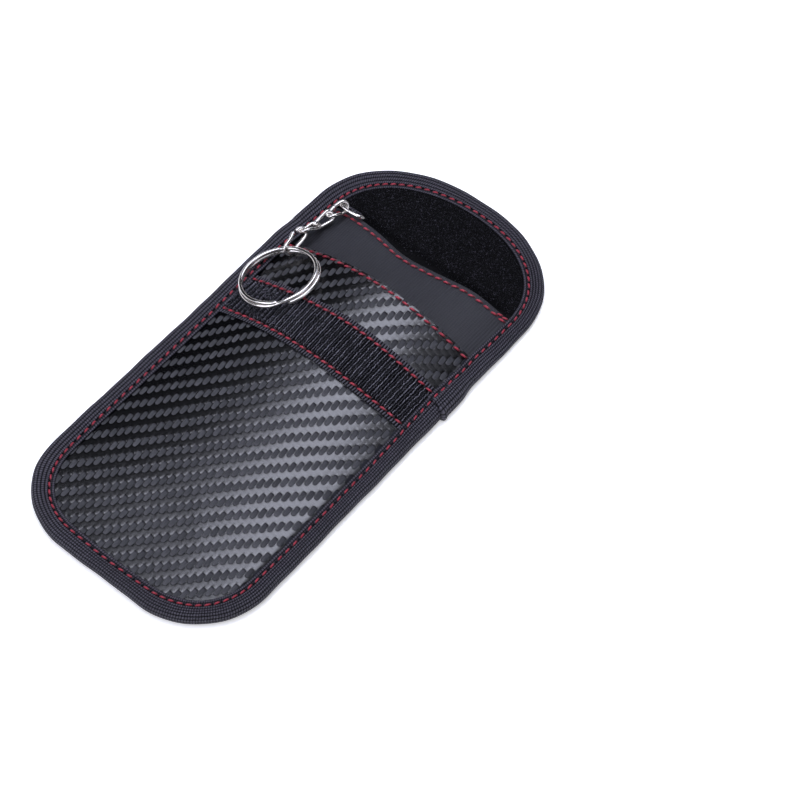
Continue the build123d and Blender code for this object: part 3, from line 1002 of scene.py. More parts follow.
middle = []
for name, ys, fine in (
    ("middle_panel_lower", LOWER_ROWS, False),
    ("middle_panel_upper", upper_mid_rows(True), True),
):
    x, y = lattice(ys, 3.2, cols=121, y_end=(146.0, hem_line) if fine else None)
    z = middle_top(x, y)
    left = hem_line(x) - y if fine else np.full_like(x, 50.0)
    thick = 0.44 + 0.40 * (1 - smooth(7.0, 7.5, left))
    e = np.clip(left / 0.42, 0, 1)
    edge = np.sqrt(np.maximum(0, 1 - (1 - e) ** 2))
    edge = np.maximum(edge, 0.12)
    crown = 0.10 * (1 - smooth(0.8, 2.4, left))
    middle_z = z + crown - thick / 2
    top = stack(x, y, middle_z + thick / 2 * edge)
    bottom = stack(x, y, middle_z - thick / 2 * edge)
    o = slab(name, top, bottom, np.stack([x, y], -1))
    finishing(o, "pu")
    middle.append(o)
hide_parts("middle_panel", "fold_middle_panel")
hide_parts("fold_middle_panel", "mouth_middle_panel")
across_fold(*middle)

inner = []
for name, ys, fine in (
    ("middle_lining_lower", LOWER_ROWS, False),
    ("middle_lining_upper", upper_mid_rows(False), True),
):
    x, y = lattice(
        ys, 3.4, cols=89, y_end=(146.0, lambda x: hem_line(x) - 1.2) if fine else None
    )
    z = middle_top(x, y) - 0.95
    o = slab(name, stack(x, y, z), stack(x, y, z - 0.16), np.stack([x, y], -1))
    finishing(o, "shield")
    inner.append(o)
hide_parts("middle_shield_lining", "fold_middle_lining")
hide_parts("fold_middle_lining", "mouth_middle_lining")
across_fold(*inner)

# ---- front panel with its turned hem ----------------------------------------
front_rows = np.concatenate(
    [
        [2.8, 3.0, 3.4, 4.0, 4.8, 5.8, 7.0, 8.4, 10.0],
        np.arange(11.0, 96.0, 1.1),
        np.arange(96.0, 121.0, 0.7),
        np.arange(121.0, 127.5, 0.9),
        rows_between(128.0, MOUTH_Y, 0.35, fine_end=True),
    ]
)
x, y = lattice(front_rows, 2.8, cols=141, y_end=(122.0, mouth_line))
left = mouth_line(x) - y
thick = 0.42 + 0.55 * (1 - smooth(7.1, 7.7, left))
e = np.clip(left / 0.5, 0, 1)
edge = np.maximum(np.sqrt(np.maximum(0, 1 - (1 - e) ** 2)), 0.12)
zt = front_top(x, y)
mid = zt - thick / 2
front = slab(
    "front_panel_twill",
    stack(x, y, mid + thick / 2 * edge),
    stack(x, y, mid - thick / 2 * edge),
    np.stack([x, y], -1),
)
finishing(front, "twill")
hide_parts("front_panel")
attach(front, "pouch")

x, y = lattice(
    np.concatenate([front_rows[front_rows < 127.6], np.arange(128.0, 134.6, 0.8)]), 3.0
)
z = front_top(x, y, detail=False) - 1.05
front_lining = slab(
    "front_pocket_lining", stack(x, y, z), stack(x, y, z - 0.18), np.stack([x, y], -1)
)
finishing(front_lining, "lining")
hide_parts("front_lining")
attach(front_lining, "pouch")

# ---- hook strip -------------------------------------------------------------
def strip_top(x, y):
    d = inset_of(x, np.clip(y, 99, 117))
    base = front_top(x, y) + 0.05 + 0.34
    tucked = 1 - smooth(6.6, 8.0, d)
    return base - 0.06 * tucked


xs = np.arange(-39.6, 39.61, 0.155)
ys = np.concatenate(
    [
        [98.35, 98.42, 98.55],
        np.arange(98.75, 100.6, 0.23),
        np.arange(100.8, 115.8, 0.75),
        np.arange(115.95, 117.8, 0.23),
        [117.95, 118.08, 118.15],
    ]
)
x, y = np.meshgrid(xs, ys)
yn = y
y = y + 0.06 * np.sin(x / 5.3 + 0.4) + strip_skew(x, (y - 98.25) / 20)
z = strip_top(x, y)
selvedge = 1 - smooth(1.55, 2.0, np.minimum(yn - 98.35, 118.15 - yn))
z = z + selvedge * (0.06 + 0.13 * np.cos(math.tau * x / 1.02))
# its lower edge stands a little off the cloth
z = z + 0.30 * (1 - smooth(98.35, 99.5, yn)) * smooth(8.0, 10.0, inset_of(x, y))
e = np.clip(np.minimum(yn - 98.3, 118.2 - yn) / 0.24, 0, 1)
edge = np.maximum(np.sqrt(np.maximum(0, 1 - (1 - e) ** 2)), 0.1)
mid = z - 0.17
strip = slab(
    "hook_tape_base",
    stack(x, y, mid + 0.17 * edge),
    stack(x, y, mid - 0.17 * edge),
    np.stack([x, yn], -1),
)
finishing(strip, "strip")
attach(strip, "pouch")

hooks = Batch()
rnd = np.random.default_rng(5)
shape = np.array(
    [(0, -0.05), (0.0, 0.16), (0.02, 0.36), (0.10, 0.53), (0.25, 0.60), (0.38, 0.52), (0.42, 0.38)]
)
col, todo = 0, []
for hx in np.arange(-42 * HOOK_COLUMN, 37.3, HOOK_COLUMN):
    col += 1
    for hy in np.arange(100.95 + 0.36 * (col % 2), 115.3, 0.72):
        px, py = hx + rnd.uniform(-0.10, 0.10), hy + rnd.uniform(-0.12, 0.12)
        loose = float(1 - smooth(-27, -11, px))
        swirl = (50 + 55 * math.sin(py / 1.3 + px / 2.2)) * loose + 5 * math.sin(px / 6.0)
        heading = math.radians(
            (90 if col % 2 else -90) - swirl + rnd.uniform(-22, 22) * (1 + 1.6 * loose)
        )
        go = np.array([math.cos(heading), math.sin(heading), 0])
        todo.append((px, py, go, rnd.uniform(0.86, 1.08) * (1 + 0.25 * loose)))
spots = np.array([(h[0], h[1]) for h in todo])
spots[:, 1] += strip_skew(spots[:, 0], (spots[:, 1] - 98.25) / 20)
base = strip_top(spots[:, 0], spots[:, 1])
for (_, _, go, size), (px, py), bz in zip(todo, spots, base):
    p = (
        np.array([px, py, bz])
        + go[None, :] * (shape[:, 0] * size * 1.30)[:, None]
        + np.array([0, 0, 1.0])[None, :] * (shape[:, 1] * size)[:, None]
    )
    hooks.add(p, np.linspace(0.13, 0.12, 7), sides=5)
hook_field = finishing(hooks.make("hook_field"), "hook")
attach(hook_field, "pouch")
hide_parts("hook_strip")
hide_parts("hook_strip")

# ---- loop pad ---------------------------------------------------------------
pad_rows = np.concatenate(
    [
        [154.6, 154.7, 154.9, 155.3],
        np.arange(155.8, 182.4, 0.45),
        [182.7, 183.0, 183.25],
    ]
)
x, y = lattice(pad_rows, 6.7, cols=171)
d = inset_of(x, y)
full = smooth(157.6, 160.2, y)
body = smooth(7.0, 9.3, d)
floor_z = lining_top(x, y) + 0.03
tuft = np.random.default_rng(8).uniform(-1, 1, x.shape)
tuft = (
    tuft
    + np.roll(tuft, 1, 0)
    + np.roll(tuft, 1, 1)
    + np.roll(np.roll(tuft, 1, 0), 1, 1)
) / 4
ztop = (
    floor_z
    + 0.45
    + full * (0.45 + 1.05 * body)
    + 0.08 * wobble(x, y, 11, 41)
    + 0.30 * tuft * body
)
ztop = np.minimum(ztop, np.where(d < 7.6, 2.86, 9.0))
ztop = np.maximum(ztop, floor_z + 0.12)
pad = slab("loop_pad_velour", stack(x, y, ztop), stack(x, y, floor_z), np.stack([x, y], -1))
finishing(pad, "velour")
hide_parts("loop_pad")
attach(pad, "flap")


def loops(name, x, y, z, radius, height, reach, seed):
    """Small loops of yarn standing on a surface, all turned at random."""
    r = np.random.default_rng(seed)
    n, k, sides = len(x), 6, 3
    t = np.linspace(0, 1, k)
    turn = r.uniform(0, math.tau, n)
    tall, far = height * r.uniform(0.5, 1.15, n), reach * r.uniform(0.5, 1.2, n)
    lean = r.normal(0, 0.25, (n, 2))
    go = np.stack([np.cos(turn), np.sin(turn), 0 * turn], 1)
    side = np.stack([-np.sin(turn), np.cos(turn), 0 * turn], 1)
    rise_ = tall[:, None] * np.sin(math.pi * (0.02 + 0.90 * t))[None, :]
    run = far[:, None] * (t - 0.5)[None, :]
    sway = far[:, None] * 0.35 * np.sin(math.tau * t)[None, :] * r.uniform(-1, 1, n)[:, None]
    root = np.stack([x, y, z - 0.06], 1)
    c = (
        root[:, None, :]
        + go[:, None, :] * run[..., None]
        + side[:, None, :] * sway[..., None]
        + rise_[..., None] * np.array([0, 0, 1.0])
    )
    c[:, :, :2] += lean[:, None, :] * rise_[..., None]
    tan = np.gradient(c, axis=1)
    tan /= np.linalg.norm(tan, axis=2)[..., None] + 1e-9
    s1 = np.cross(tan, side[:, None, :] + 0 * tan)
    s1 /= np.linalg.norm(s1, axis=2)[..., None] + 1e-9
    s2 = np.cross(tan, s1)
    a = np.arange(sides) / sides * math.tau
    v = (
        c[:, :, None, :]
        + radius * s1[:, :, None, :] * np.cos(a)[:, None]
        + radius * s2[:, :, None, :] * np.sin(a)[:, None]
    )
    one, m = np.meshgrid(np.arange(k - 1), np.arange(sides), indexing="ij")
    m2 = (m + 1) % sides
    quad = np.stack(
        [one * sides + m, one * sides + m2, (one + 1) * sides + m2, (one + 1) * sides + m], -1
    ).reshape(-1, 4)
    quads = (quad[None, :, :] + (np.arange(n) * k * sides)[:, None, None]).reshape(-1, 4)
    flat = v.reshape(-1, 3)
    return mesh(name, flat, quads, flat[quads.ravel()][:, :2], 80.0)


rnd = np.random.default_rng(12)
px, py = np.meshgrid(np.arange(-38.4, 38.5, 0.40), np.arange(156.0, 183.3, 0.40))
px = px + rnd.uniform(-0.2, 0.2, px.shape)
py = py + rnd.uniform(-0.2, 0.2, py.shape)
keep = (inset_of(px, py) > 7.35) & (rnd.uniform(0, 1, px.shape) < 0.70)
px, py = px[keep], py[keep]
row = np.clip(np.searchsorted(pad_rows, py) - 1, 0, len(pad_rows) - 2)
across = np.clip((px / half_width(6.7, py) + 1) / 2 * 170, 0, 169.99)
ci, cf = across.astype(int), across - across.astype(int)
rf = (py - pad_rows[row]) / (pad_rows[row + 1] - pad_rows[row])
pz = (
    ztop[row, ci] * (1 - rf) * (1 - cf)
    + ztop[row, ci + 1] * (1 - rf) * cf
    + ztop[row + 1, ci] * rf * (1 - cf)
    + ztop[row + 1, ci + 1] * rf * cf
)
tall = smooth(157.0, 160.0, py) > rnd.uniform(0, 1, len(py)) * 0.9
fibres = loops("loop_pad_pile", px[tall], py[tall], pz[tall], 0.055, 0.45, 0.62, 9)
finishing(fibres, "pile")
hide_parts("loop_pad")
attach(fibres, "flap")


# ---- binding tape -----------------------------------------------------------
def section():
    """Outer face of the folded tape, from the upper inner edge round to the lower one: inset, level from -1 to 1, and distance across."""
    top = np.linspace(TAPE_W, 2.5, 34)
    turn = np.linspace(90, -90, 27)[1:-1]
    low = np.linspace(2.5, TAPE_W, 16)
    d = list(top)
    lv = [1.0] * len(top)
    for a in turn:
        c, s = math.cos(math.radians(a)), math.sin(math.radians(a))
        d.append(2.5 - 2.5 * abs(c) ** 0.82)
        lv.append(math.copysign(abs(s) ** 0.82, s))
    d += list(low)
    lv += [-1.0] * len(low)
    return np.array(d), np.array(lv)


SEC_D, SEC_L = section()
_sz = np.where(SEC_L > 0, SEC_L * 2.35, SEC_L * 2.35)
SEC_U = np.concatenate([[0], np.cumsum(np.hypot(np.diff(SEC_D), np.diff(_sz)))])


def seam_pull(s, d):
    """How far the seam draws the tape in."""
    near = np.exp(-(((d - SEAM_IN) / 0.55) ** 2))
    hole = 0.5 + 0.5 * np.cos(math.tau * (s / PITCH))
    return near * (0.20 + 0.26 * hole**2)


def tape_top(s, d, y):
    z = tape_level(y)
    crown = 0.16 * np.sin(np.clip((TAPE_W - d) / TAPE_W, 0, 1) * math.pi)
    return (
        z
        + crown
        + strip_lift(y) * smooth(3.6, 5.2, d)
        - seam_pull(s, d)
    )


def rib_height(s, x, y):
    """The tape's lengthwise ribs stand out where it is drawn tight."""
    tight = smooth(150, 160, y) + (x > 0) * smooth(112, 122, y) + 0.55 * (
        x < 0
    ) * smooth(118, 150, y)
    return 0.13 + 0.09 * np.clip(tight, 0, 1)


def tape_grid(s, secd, secl, secu):
    """Points of the tape's outer face and its outward direction, for rows at s."""
    d, lv = secd[None, :] + 0 * s, secl[None, :] + 0 * s
    x0, y0 = rim(s, 0 * d)
    top = tape_top(s, d, y0)
    low = 0.05 + 0 * top + np.where(lv < 0, seam_pull(s + PITCH / 2, d) * 1.25, 0)
    centre = tape_level(y0) / 2
    z = np.where(lv > 0, centre + (top - centre) * lv, centre + (low - centre) * -lv)
    dz, dd = np.gradient(z, axis=1), np.gradient(d, axis=1)
    ln = np.hypot(dz, dd) + 1e-9
    ribs = np.abs(np.sin(math.pi * secu[None, :] / RIB)) ** 0.8 - 0.6
    wave = edge_wave(s) * (1 - smooth(0, 6.5, d)) + sway(s) * smooth(0.8, 5.2, d)
    return x0, y0, d + wave, lv, z, dz / ln, -dd / ln, ribs


def binding(name, s0, s1):
    rows = int(round((s1 - s0) / 0.6)) + 1
    s = np.linspace(s0, s1, rows)[:, None]
    x0, y0, d, lv, z, nd, nz, ribs = tape_grid(s, SEC_D, SEC_L, SEC_U)
    flat = np.where(np.abs(SEC_D - SEAM_IN) < 0.5, 0.35, 1.0)[None, :]
    amount = rib_height(s, x0, y0) * ribs * np.where(lv < 0, 0.4, 1.0) * flat
    # the tape's inner edge is eased round the corners
    corner = smooth(0.004, 0.02, np.abs(bend_at(s)))
    amount = amount + 0.07 * corner * smooth(4.5, 7.2, SEC_D)[None, :] * np.sin(
        math.tau * s / 2.4 + 0.8 * np.sin(s / 7)
    ) * (lv > 0)
    xo, yo = rim(s, d + nd * amount)
    xi, yi = rim(s, d - nd * 0.42)
    uv = np.stack([s + 0 * d, SEC_U[None, :] + 0 * s], -1)
    o = slab(
        name,
        stack(xo, yo, np.maximum(z + nz * amount, 0.0)),
        stack(xi, yi, z - nz * 0.42),
        uv,
    )
    return finishing(o, "tape")


_t = np.arctan2(-RIM_N[:, 0], RIM_N[:, 1])
_turn = np.mod(np.roll(_t, -1) - np.roll(_t, 1) + math.pi, math.tau) - math.pi
_bend = _turn / (2 * ROUND / len(RIM))


def bend_at(s):
    """How sharply the outline turns there, in radians for each millimetre."""
    return np.interp(np.mod(s, ROUND), RIM_S, _bend, period=ROUND)


tape_low = binding("binding_lower", -CUT_S, CUT_S)
tape_high = binding("binding_upper", CUT_S, ROUND - CUT_S)
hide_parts("pouch_binding", "fold_binding")
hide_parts("fold_binding", "flap_binding")
across_fold(tape_low, tape_high)

# ---- edge stitching, both faces ---------------------------------------------
LAP_Y = 113.6


def lap_height(s):
    """Extra height where the tape's end laps over its start, on the right."""
    x, y = rim(s, 0.0)
    return np.where(x > 0, 0.62 * smooth(LAP_Y, LAP_Y + 0.4, y) * (1 - smooth(124, 129, y)), 0)


def edge_stitches(name, s0, s1):
    b = Batch()
    first = math.ceil(s0 / PITCH - 0.5)
    k = first
    while (k + 0.5) * PITCH < s1:
        s = (k + 0.5) * PITCH  # middle of a stitch, between two holes
        k += 1
        if s < s0 + 0.2:
            continue
        near = np.array([s - 0.5, s, s + 0.5])
        x, y = rim(near, SEAM_IN + sway(near))
        t = np.array([x[2] - x[0], y[2] - y[0], 0.0])
        yy = rim(s, 0.0)[1]
        z = float(tape_top(s, SEAM_IN, yy)) + float(lap_height(s))
        z2 = float(tape_top(s + 0.5, SEAM_IN, rim(s + 0.5, 0.0)[1])) + float(lap_height(s + 0.5))
        z1 = float(tape_top(s - 0.5, SEAM_IN, rim(s - 0.5, 0.0)[1])) + float(lap_height(s - 0.5))
        t[2] = z2 - z1
        stitch(b, (x[1], y[1], z - 0.04), t, (0, 0, 1), length=2.08, width=0.58, seed=1000 + k)
        # underside, half a stitch on
        s2 = s + PITCH / 2
        if s2 < s1 - 0.2:
            near = np.array([s2 - 0.5, s2, s2 + 0.5])
            x, y = rim(near, SEAM_IN + sway(near))
            stitch(
                b, (x[1], y[1], 0.42), (x[2] - x[0], y[2] - y[0], 0), (0, 0, -1),
                length=2.6, width=0.56, lean=-8, seed=5000 + k,
            )
    return finishing(b.make(name), "thread")


seam_low = edge_stitches("edge_stitches_lower", -CUT_S, CUT_S)
seam_high = edge_stitches("edge_stitches_upper", CUT_S, ROUND - CUT_S)
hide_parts("pouch_edge_stitching", "fold_edge_stitching")
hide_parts("fold_edge_stitching", "flap_edge_stitching")
across_fold(seam_low, seam_high)

# ---- the tape's end, folded under and lapped over its start -----------------
def lap():
    ys = np.concatenate(
        [LAP_Y + np.array([0, 0.03, 0.09, 0.18, 0.3, 0.45, 0.65, 0.9, 1.2]), np.arange(115.2, 129.6, 0.55)]
    )
    s = np.array([s_right(v) for v in ys])[:, None]
    keep = (SEC_L > -1) | (SEC_D < 5.0)
    secd, secl, secu = SEC_D[keep], SEC_L[keep], SEC_U[keep]
    x0, y0, d, lv, z, nd, nz, ribs = tape_grid(s, secd, secl, secu)
    e = np.clip((y0 - LAP_Y) / 0.42, 0, 1)
    rounded = np.sqrt(np.maximum(0, 1 - (1 - e) ** 2))
    fade = 1 - smooth(122.0, 129.0, y0)
    rolled = 0.28 * np.exp(-(((y0 - LAP_Y - 0.7) / 0.8) ** 2))
    proud = (0.66 * fade + rolled) * rounded
    proud = proud * np.where(lv > -0.99, 1, 0.25) * np.where(secd < 2.5, 1.35, 1.0)[None, :]
    amount = proud + (0.16 * ribs + 0.02) * rounded
    # the end is cut a little askew and stands off at the outer edge
    skew = 1.5 * np.exp(-((secd[None, :] / 2.8) ** 2)) * np.exp(-((y0 - LAP_Y) / 3.0))
    under = amount * 0.2 - 0.06
    xo, yo = rim(s, d + nd * amount)
    xi, yi = rim(s, d + nd * under)
    uv = np.stack([s + 0.3 + 0 * d, secu[None, :] + 0 * s], -1)
    o = slab(
        "binding_end_fold",
        stack(xo, yo - skew, np.maximum(z + nz * amount, 0.0)),
        stack(xi, yi - skew, np.maximum(z + nz * under, 0.03)),
        uv,
    )
    return finishing(o, "tape")


end_lap = lap()
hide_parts("binding_end_lap")
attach(end_lap, "pouch")


# ---- rows of stitches across the pouch --------------------------------------
def row_of_stitches(name, line, height, x0, x1, pitch, seed, body, length=2.70):
    """line(x) gives y, height(x, y) gives the surface."""
    b = Batch()
    n = int(round((x1 - x0) / pitch))
    for k in range(n):
        x = x0 + (k + 0.5) * (x1 - x0) / n
        xx = np.array([x - 0.8, x, x + 0.8])
        yy = line(xx)
        zz = height(xx, yy)
        t = np.array([xx[2] - xx[0], yy[2] - yy[0], zz[2] - zz[0]])
        up = np.cross(t, [0, 1, 0])
        up = up if up[2] > 0 else -up
        stitch(b, (x, yy[1], zz[1]), t, up, length=length, width=0.72, seed=seed + k)
    o = finishing(b.make(name), "thread")
    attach(o, body)
    return o


front_row = row_of_stitches(
    "front_hem_stitches",
    lambda x: mouth_line(x) - 1.6 + 0.07 * np.sin(x / 4.0),
    lambda x, y: front_top(x, y),
    -38.2, 38.2, 3.1, 100, "pouch",
)
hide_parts("front_hem_stitching")
upper_row = row_of_stitches(
    "strip_stitches_upper",
    lambda x: 116.2 + strip_skew(x, 0.9) + 0.06 * np.sin(x / 5.3 + 0.4),
    lambda x, y: strip_top(x, y),
    -38.0, 38.0, 3.1, 200, "pouch",
)
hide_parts("hook_strip_upper_stitching")
lower_row = row_of_stitches(
    "strip_stitches_lower",
    lambda x: 100.3 + strip_skew(x, 0.1) + 0.06 * np.sin(x / 5.3 + 0.4),
    lambda x, y: strip_top(x, y),
    -38.0, 38.0, 3.1, 300, "pouch",
)
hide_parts("hook_strip_lower_stitching")
hem_row = row_of_stitches(
    "middle_hem_stitches",
    lambda x: hem_line(x) - 1.9,
    lambda x, y: middle_top(x, y) + 0.08,
    -38.0, 38.4, 3.2, 400, "flap",
)
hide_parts("middle_hem_stitching")
tack = Batch()
for k, (tx, ty, turn) in enumerate(
    ((35.2, 155.0, 6), (37.2, 155.3, 4), (-36.6, 154.9, 8))
):
    tz = float(middle_top(np.array([tx]), np.array([ty]))[0]) + 0.22
    stitch(
        tack, (tx, ty, tz), (math.cos(math.radians(turn)), math.sin(math.radians(turn)), 0),
        (0, 0, 1), length=2.3, seed=700 + k,
    )
tack = finishing(tack.make("middle_hem_tacks"), "thread")
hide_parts("middle_hem_stitching")
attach(tack, "flap")

# ---- woven tape that holds the chain ----------------------------------------
path = [(150.9, 2.02), (152.5, 2.02), (154.2, 2.05), (155.6, 2.12), (156.5, 2.35), (156.95, 2.9), (157.1, 3.45)]
for a in np.linspace(205, -25 + 0, 15):
    path.append((157.4 + 0.82 * math.cos(math.radians(a)) * 1.0, 4.6 + 0.82 * math.sin(math.radians(a)) * 1.0))
path += [(157.75, 3.6), (157.55, 3.0)]
path = np.array(path)
along = np.concatenate([[0], np.cumsum(np.hypot(*np.diff(path, axis=0).T))])
fine = np.linspace(0, along[-1], 60)
path = np.stack([np.interp(fine, along, path[:, k]) for k in (0, 1)], 1)
t = np.gradient(path, axis=0)
t /= np.linalg.norm(t, axis=1)[:, None]
nrm = np.stack([-t[:, 1], t[:, 0]], 1)
xs = np.linspace(-31.4, -26.6, 25)
rib = 0.03 * np.cos(math.tau * (xs - xs[0]) / 0.8)
yy = path[:, 0][:, None] + nrm[:, 0][:, None] * (0.17 + rib)[None, :]
zz = path[:, 1][:, None] + nrm[:, 1][:, None] * (0.17 + rib)[None, :]
yb = path[:, 0][:, None] - nrm[:, 0][:, None] * (0.17 + rib)[None, :]
zb = path[:, 1][:, None] - nrm[:, 1][:, None] * (0.17 + rib)[None, :]
xg = np.repeat(xs[None, :], len(path), 0)
uv = np.stack([np.repeat(fine[:, None], len(xs), 1), xg], -1)
anchor = slab("chain_anchor_loop", stack(xg, yy, zz), stack(xg, yb, zb), uv)
finishing(anchor, "tape")
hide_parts("chain_anchor_tape")
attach(anchor, "flap")

# ---- chain ------------------------------------------------------------------
WIRE = 1.2
PLAY = 0.3
REACH = (WIRE + PLAY) / 2


def arr(*v):
    return np.array(v, float)


def unit(v):
    return np.asarray(v, float) / np.linalg.norm(v)


ring_mid = arr(-29.0, 117.8, 10.4)
tilt, turn = math.radians(17.0), math.radians(24.0)
ring_x = arr(math.cos(tilt), 0, math.sin(tilt))
ring_y = arr(0, 1, 0)
ring_z = np.cross(ring_x, ring_y)
ring_hold = ring_mid + (ring_y * math.cos(turn) - ring_x * math.sin(turn)) * 13.2
lean = math.radians(125.0)
lower_bar = arr(-29.2, 157.4, 4.6)
upper_bar = lower_bar + arr(0, math.cos(lean), math.sin(lean)) * 3.6
top_4 = arr(-32.1, upper_bar[1], upper_bar[2])
end_3, end_2, end_1 = arr(-33.0, 149.4, 7.9), arr(-34.0, 143.5, 7.4), arr(-35.0, 137.6, 9.2)


def obround(length, width, n=72, gap=0.0, flare=0.0, joint=0.0):
    """Centreline of a bent wire link, half length and half width; its ends meet on one long side, joint away from the middle."""
    straight = length - width
    total = 4 * straight + math.tau * width
    s = np.linspace(gap / 2, total - gap / 2, n)
    out = []
    for v in (s - joint) % total:
        # starts in the middle of the side at +width, runs towards the lower end
        if v < straight:
            out.append((-v, width))
        elif v < straight + math.pi * width:
            a = math.pi / 2 + (v - straight) / width
            out.append((-straight + width * math.cos(a), width * math.sin(a)))
        elif v < 3 * straight + math.pi * width:
            out.append((-straight + (v - straight - math.pi * width), -width))
        elif v < 3 * straight + 2 * math.pi * width:
            a = -math.pi / 2 + (v - 3 * straight - math.pi * width) / width
            out.append((straight + width * math.cos(a), width * math.sin(a)))
        else:
            out.append((straight - (v - 3 * straight - 2 * math.pi * width), width))
    out = np.array(out)
    if flare:
        e = np.clip(1 - s / 3.4, 0, 1)
        out[:, 1] += flare * e**2
    return out


def curb_link(
    name, node, body, low, high, roll_low, roll_high, width, gap=0.10, flare=0.0, shift=0.0, joint=0.0
):
    """A link whose two ends lie in planes turned against each other, as in a curb chain."""
    along = unit(high - low)
    across = unit(np.cross(along, arr(0, 0, 1)))
    up = np.cross(across, along)
    half = np.linalg.norm(high - low) / 2
    flat = obround(half, width, 84, gap, flare, joint)
    if shift:
        flat[:, 1] *= 1 - shift * (flat[:, 0] / half)
    t = (flat[:, 0] / half + 1) / 2
    roll = np.radians(roll_low + (roll_high - roll_low) * (t * t * (3 - 2 * t)))
    side = across[None, :] * np.cos(roll)[:, None] + up[None, :] * np.sin(roll)[:, None]
    p = (low + high) / 2 + along[None, :] * flat[:, :1] + side * flat[:, 1:]
    b = Batch()
    r = np.full(len(p), WIRE / 2)
    r[0] *= 0.86
    r[-1] *= 0.86
    b.add(p, r, sides=16)
    o = finishing(b.make(name), "nickel")
    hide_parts(node)
    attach(o, body)
    return o


# link across the hem, its upper bar arched
flat = obround(4.9, 1.8, 90, 0.10)
down = unit(upper_bar - lower_bar)
out_dir = unit(np.cross(arr(1, 0, 0), down))
share = (flat[:, 1] / 1.8 + 1) / 2
arch = np.clip(1 - (flat[:, 0] / 4.9) ** 2, 0, 1)
p = (
    (lower_bar + upper_bar) / 2
    + arr(1, 0, 0)[None, :] * flat[:, :1]
    + down[None, :] * (flat[:, 1] + 0.45 * arch * share)[:, None]
    + out_dir[None, :] * (0.40 * arch * share)[:, None]
)
b = Batch()
r = np.full(len(p), WIRE / 2)
b.add(p, r, sides=16)
link = finishing(b.make("anchor_link_wire"), "nickel")
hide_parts("anchor_link")
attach(link, "anchor_link_body")


def spread(low, high, a, b):
    along = unit(high - low)
    return low - along * a, high + along * b


lo, hi = spread(end_3, top_4, REACH, WIRE + PLAY)
curb_link("curb_link_4", "chain_link_4", "link_4_body", lo, hi, 215, 128, 1.8)
lo, hi = spread(end_2, end_3, REACH, REACH)
curb_link("curb_link_3", "chain_link_3", "link_3_body", lo, hi, 100, 130, 1.8, shift=-0.10)
lo, hi = spread(end_1, end_2, REACH, REACH)
curb_link("curb_link_2", "chain_link_2", "link_2_body", lo, hi, 230, 190, 1.8)
lo, hi = spread(ring_hold, end_1, 2.4, REACH)
curb_link(
    "curb_link_1", "chain_link_1", "link_1_body", lo, hi, 107, 150, 1.95, gap=1.2, flare=0.9, shift=0.15, joint=2.2
)

# ---- split ring: one wire wound twice ---------------------------------------
def split_ring():
    mid = ring_mid + arr(1.0, -0.5, 0)  # drawn down against the chain
    gap = math.radians(16)
    start = math.radians(-34)
    total = 2 * math.tau - gap
    n = 420
    a = np.linspace(0, total, n)
    cross = smooth(math.tau - gap - 0.42, math.tau + 0.12, a)
    h = -0.70 + 1.40 * cross
    r = 13.2 + 0.22 * np.sin(a / 2 + 0.3) + 0.12 * np.sin(a * 1.5)
    ang = start + a
    p = (
        mid[None, :]
        + ring_x[None, :] * (r * np.cos(ang))[:, None]
        + ring_y[None, :] * (r * np.sin(ang))[:, None]
        + ring_z[None, :] * h[:, None]
    )
    ups = np.repeat(ring_z[None, :], n, 0)
    rad = np.full(n, 0.68)
    for k, f in enumerate((0.80, 0.93)):
        rad[k] *= f
        rad[-1 - k] *= f
    b = Batch()
    b.add(p, rad, sides=18, ups=ups)
    return finishing(b.make("split_ring_coil"), "nickel")


ring = split_ring()
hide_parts("split_ring")
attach(ring, "ring")

# ---- cut sizes of the cloth -------------------------------------------------
def span(ys, d):
    return (2 * HALF - 2 * d) / 1000, (ys[-1] - ys[0]) / 1000


def cloth(ys, d, area=None):
    w, l = span(ys, d)
    area or min(flat_area(ys, d), w * l)


cloth(LOWER_ROWS, 2.8)
cloth(UPPER_ROWS, 2.8)
cloth(LOWER_ROWS, 3.0)
cloth(UPPER_ROWS, 3.0)
cloth(LOWER_ROWS, 3.2)
cloth(np.array([CUT_Y, 155.0]), 3.2)
cloth(LOWER_ROWS, 3.4)
cloth(np.array([CUT_Y, 154.0]), 3.4)
cloth(np.array([2.8, MOUTH_Y]), 2.8)
cloth(np.array([2.8, 134.5]), 3.0)
flat_area(pad_rows, 6.7)
(ROUND - 2 * CUT_S) / 1000

# ---- floor, light and camera ------------------------------------------------
def plain(name, colour, rough):
    m = Net(name, Roughness=rough, Specular_IOR_Level=0.2, Emission_Strength=0.45)
    m.bsdf.inputs["Emission Color"].default_value = (1.0, 1.0, 1.0, 1.0)
    p = m.object_mm()
    n = m.noise(p, 0.004, 2.0)
    return m.out(Base_Color=m.mix(n, colour, tuple(c * 0.985 for c in colour)))


me = bpy.data.meshes.new("floor")
me.from_pydata([(-6, -6, 0), (6, -6, 0), (6, 6, 0), (-6, 6, 0)], [], [(0, 1, 2, 3)])
floor = bpy.data.objects.new("floor", me)
floor.location.z = -0.0001
bpy.context.scene.collection.objects.link(floor)
me.materials.append(plain("pale_floor", (0.92, 0.92, 0.925), 0.9))


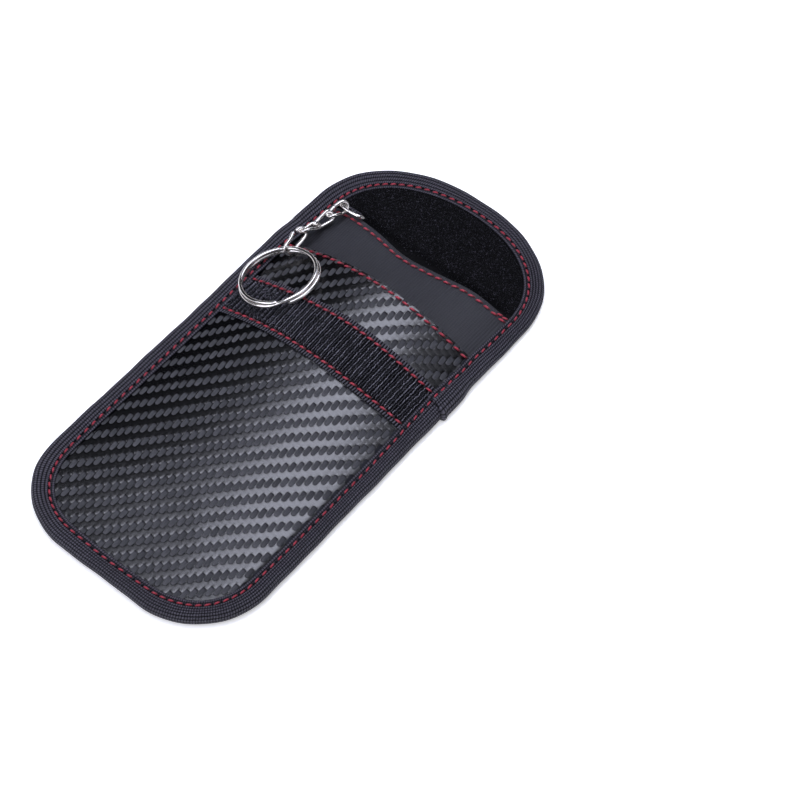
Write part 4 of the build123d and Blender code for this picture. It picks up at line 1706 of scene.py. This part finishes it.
def softbox(name, place, aim, size, power, colour=(1, 1, 1)):
    data = bpy.data.lights.new(name, "AREA")
    data.shape = "RECTANGLE"
    data.size, data.size_y = size
    data.energy = power
    data.color = colour
    o = bpy.data.objects.new(name, data)
    o.location = place
    o.rotation_mode = "QUATERNION"
    o.rotation_quaternion = (Vector(aim) - Vector(place)).to_track_quat("-Z", "Y")
    bpy.context.scene.collection.objects.link(o)
    return o


def overhead(name, x0, x1, y0, y1, z, radiance, colour):
    mid = ((x0 + x1) / 2, (y0 + y1) / 2)
    size = (x1 - x0, y1 - y0)
    return softbox(
        name, (*mid, z), (*mid, 0.0), size, radiance * math.pi * size[0] * size[1], colour
    )


cool = (0.925, 0.94, 1.09)
overhead("key", -0.285, 0.05, -0.35, 1.35, 0.80, 3.25, (0.90, 0.93, 1.12))
overhead("key_foot", -0.38, -0.29, -0.45, 0.09, 0.80, 1.6, cool)
overhead("key_wings", -0.33, 0.46, -0.30, 0.26, 0.83, 1.6, cool)
overhead("key_crown", -0.33, 0.10, 0.26, 1.25, 0.83, 1.6, cool)
softbox("front_fill", (-0.30, -0.85, 0.60), (0, 0, 0), (0.9, 0.5), 4.6, cool)
softbox("right_fill", (0.95, 0.25, 0.40), (0, 0, 0), (0.5, 0.4), 1.0, cool)

world = bpy.data.worlds.new("studio")
bpy.context.scene.world = world
world.use_nodes = True
nt = world.node_tree
nt.nodes.clear()
out = nt.nodes.new("ShaderNodeOutputWorld")
back = nt.nodes.new("ShaderNodeBackground")
back.inputs[0].default_value = (0.92, 0.95, 1.0, 1.0)
back.inputs[1].default_value = 0.03
nt.links.new(back.outputs[0], out.inputs[0])

cam_data = bpy.data.cameras.new("camera")
cam_data.lens = 108.5
cam_data.sensor_width = 36.0
cam_data.clip_start = 0.01
cam = bpy.data.objects.new("camera", cam_data)
cam.location = (0.3075, -0.3242, 0.6450)
cam.rotation_mode = "QUATERNION"
cam.rotation_quaternion = (
    Vector((0.0295, 0.0151, 0.0)) - Vector((0.3075, -0.3242, 0.6450))
).to_track_quat("-Z", "Y")
bpy.context.scene.collection.objects.link(cam)
bpy.context.scene.camera = cam
bpy.context.scene.view_settings.view_transform = "Standard"
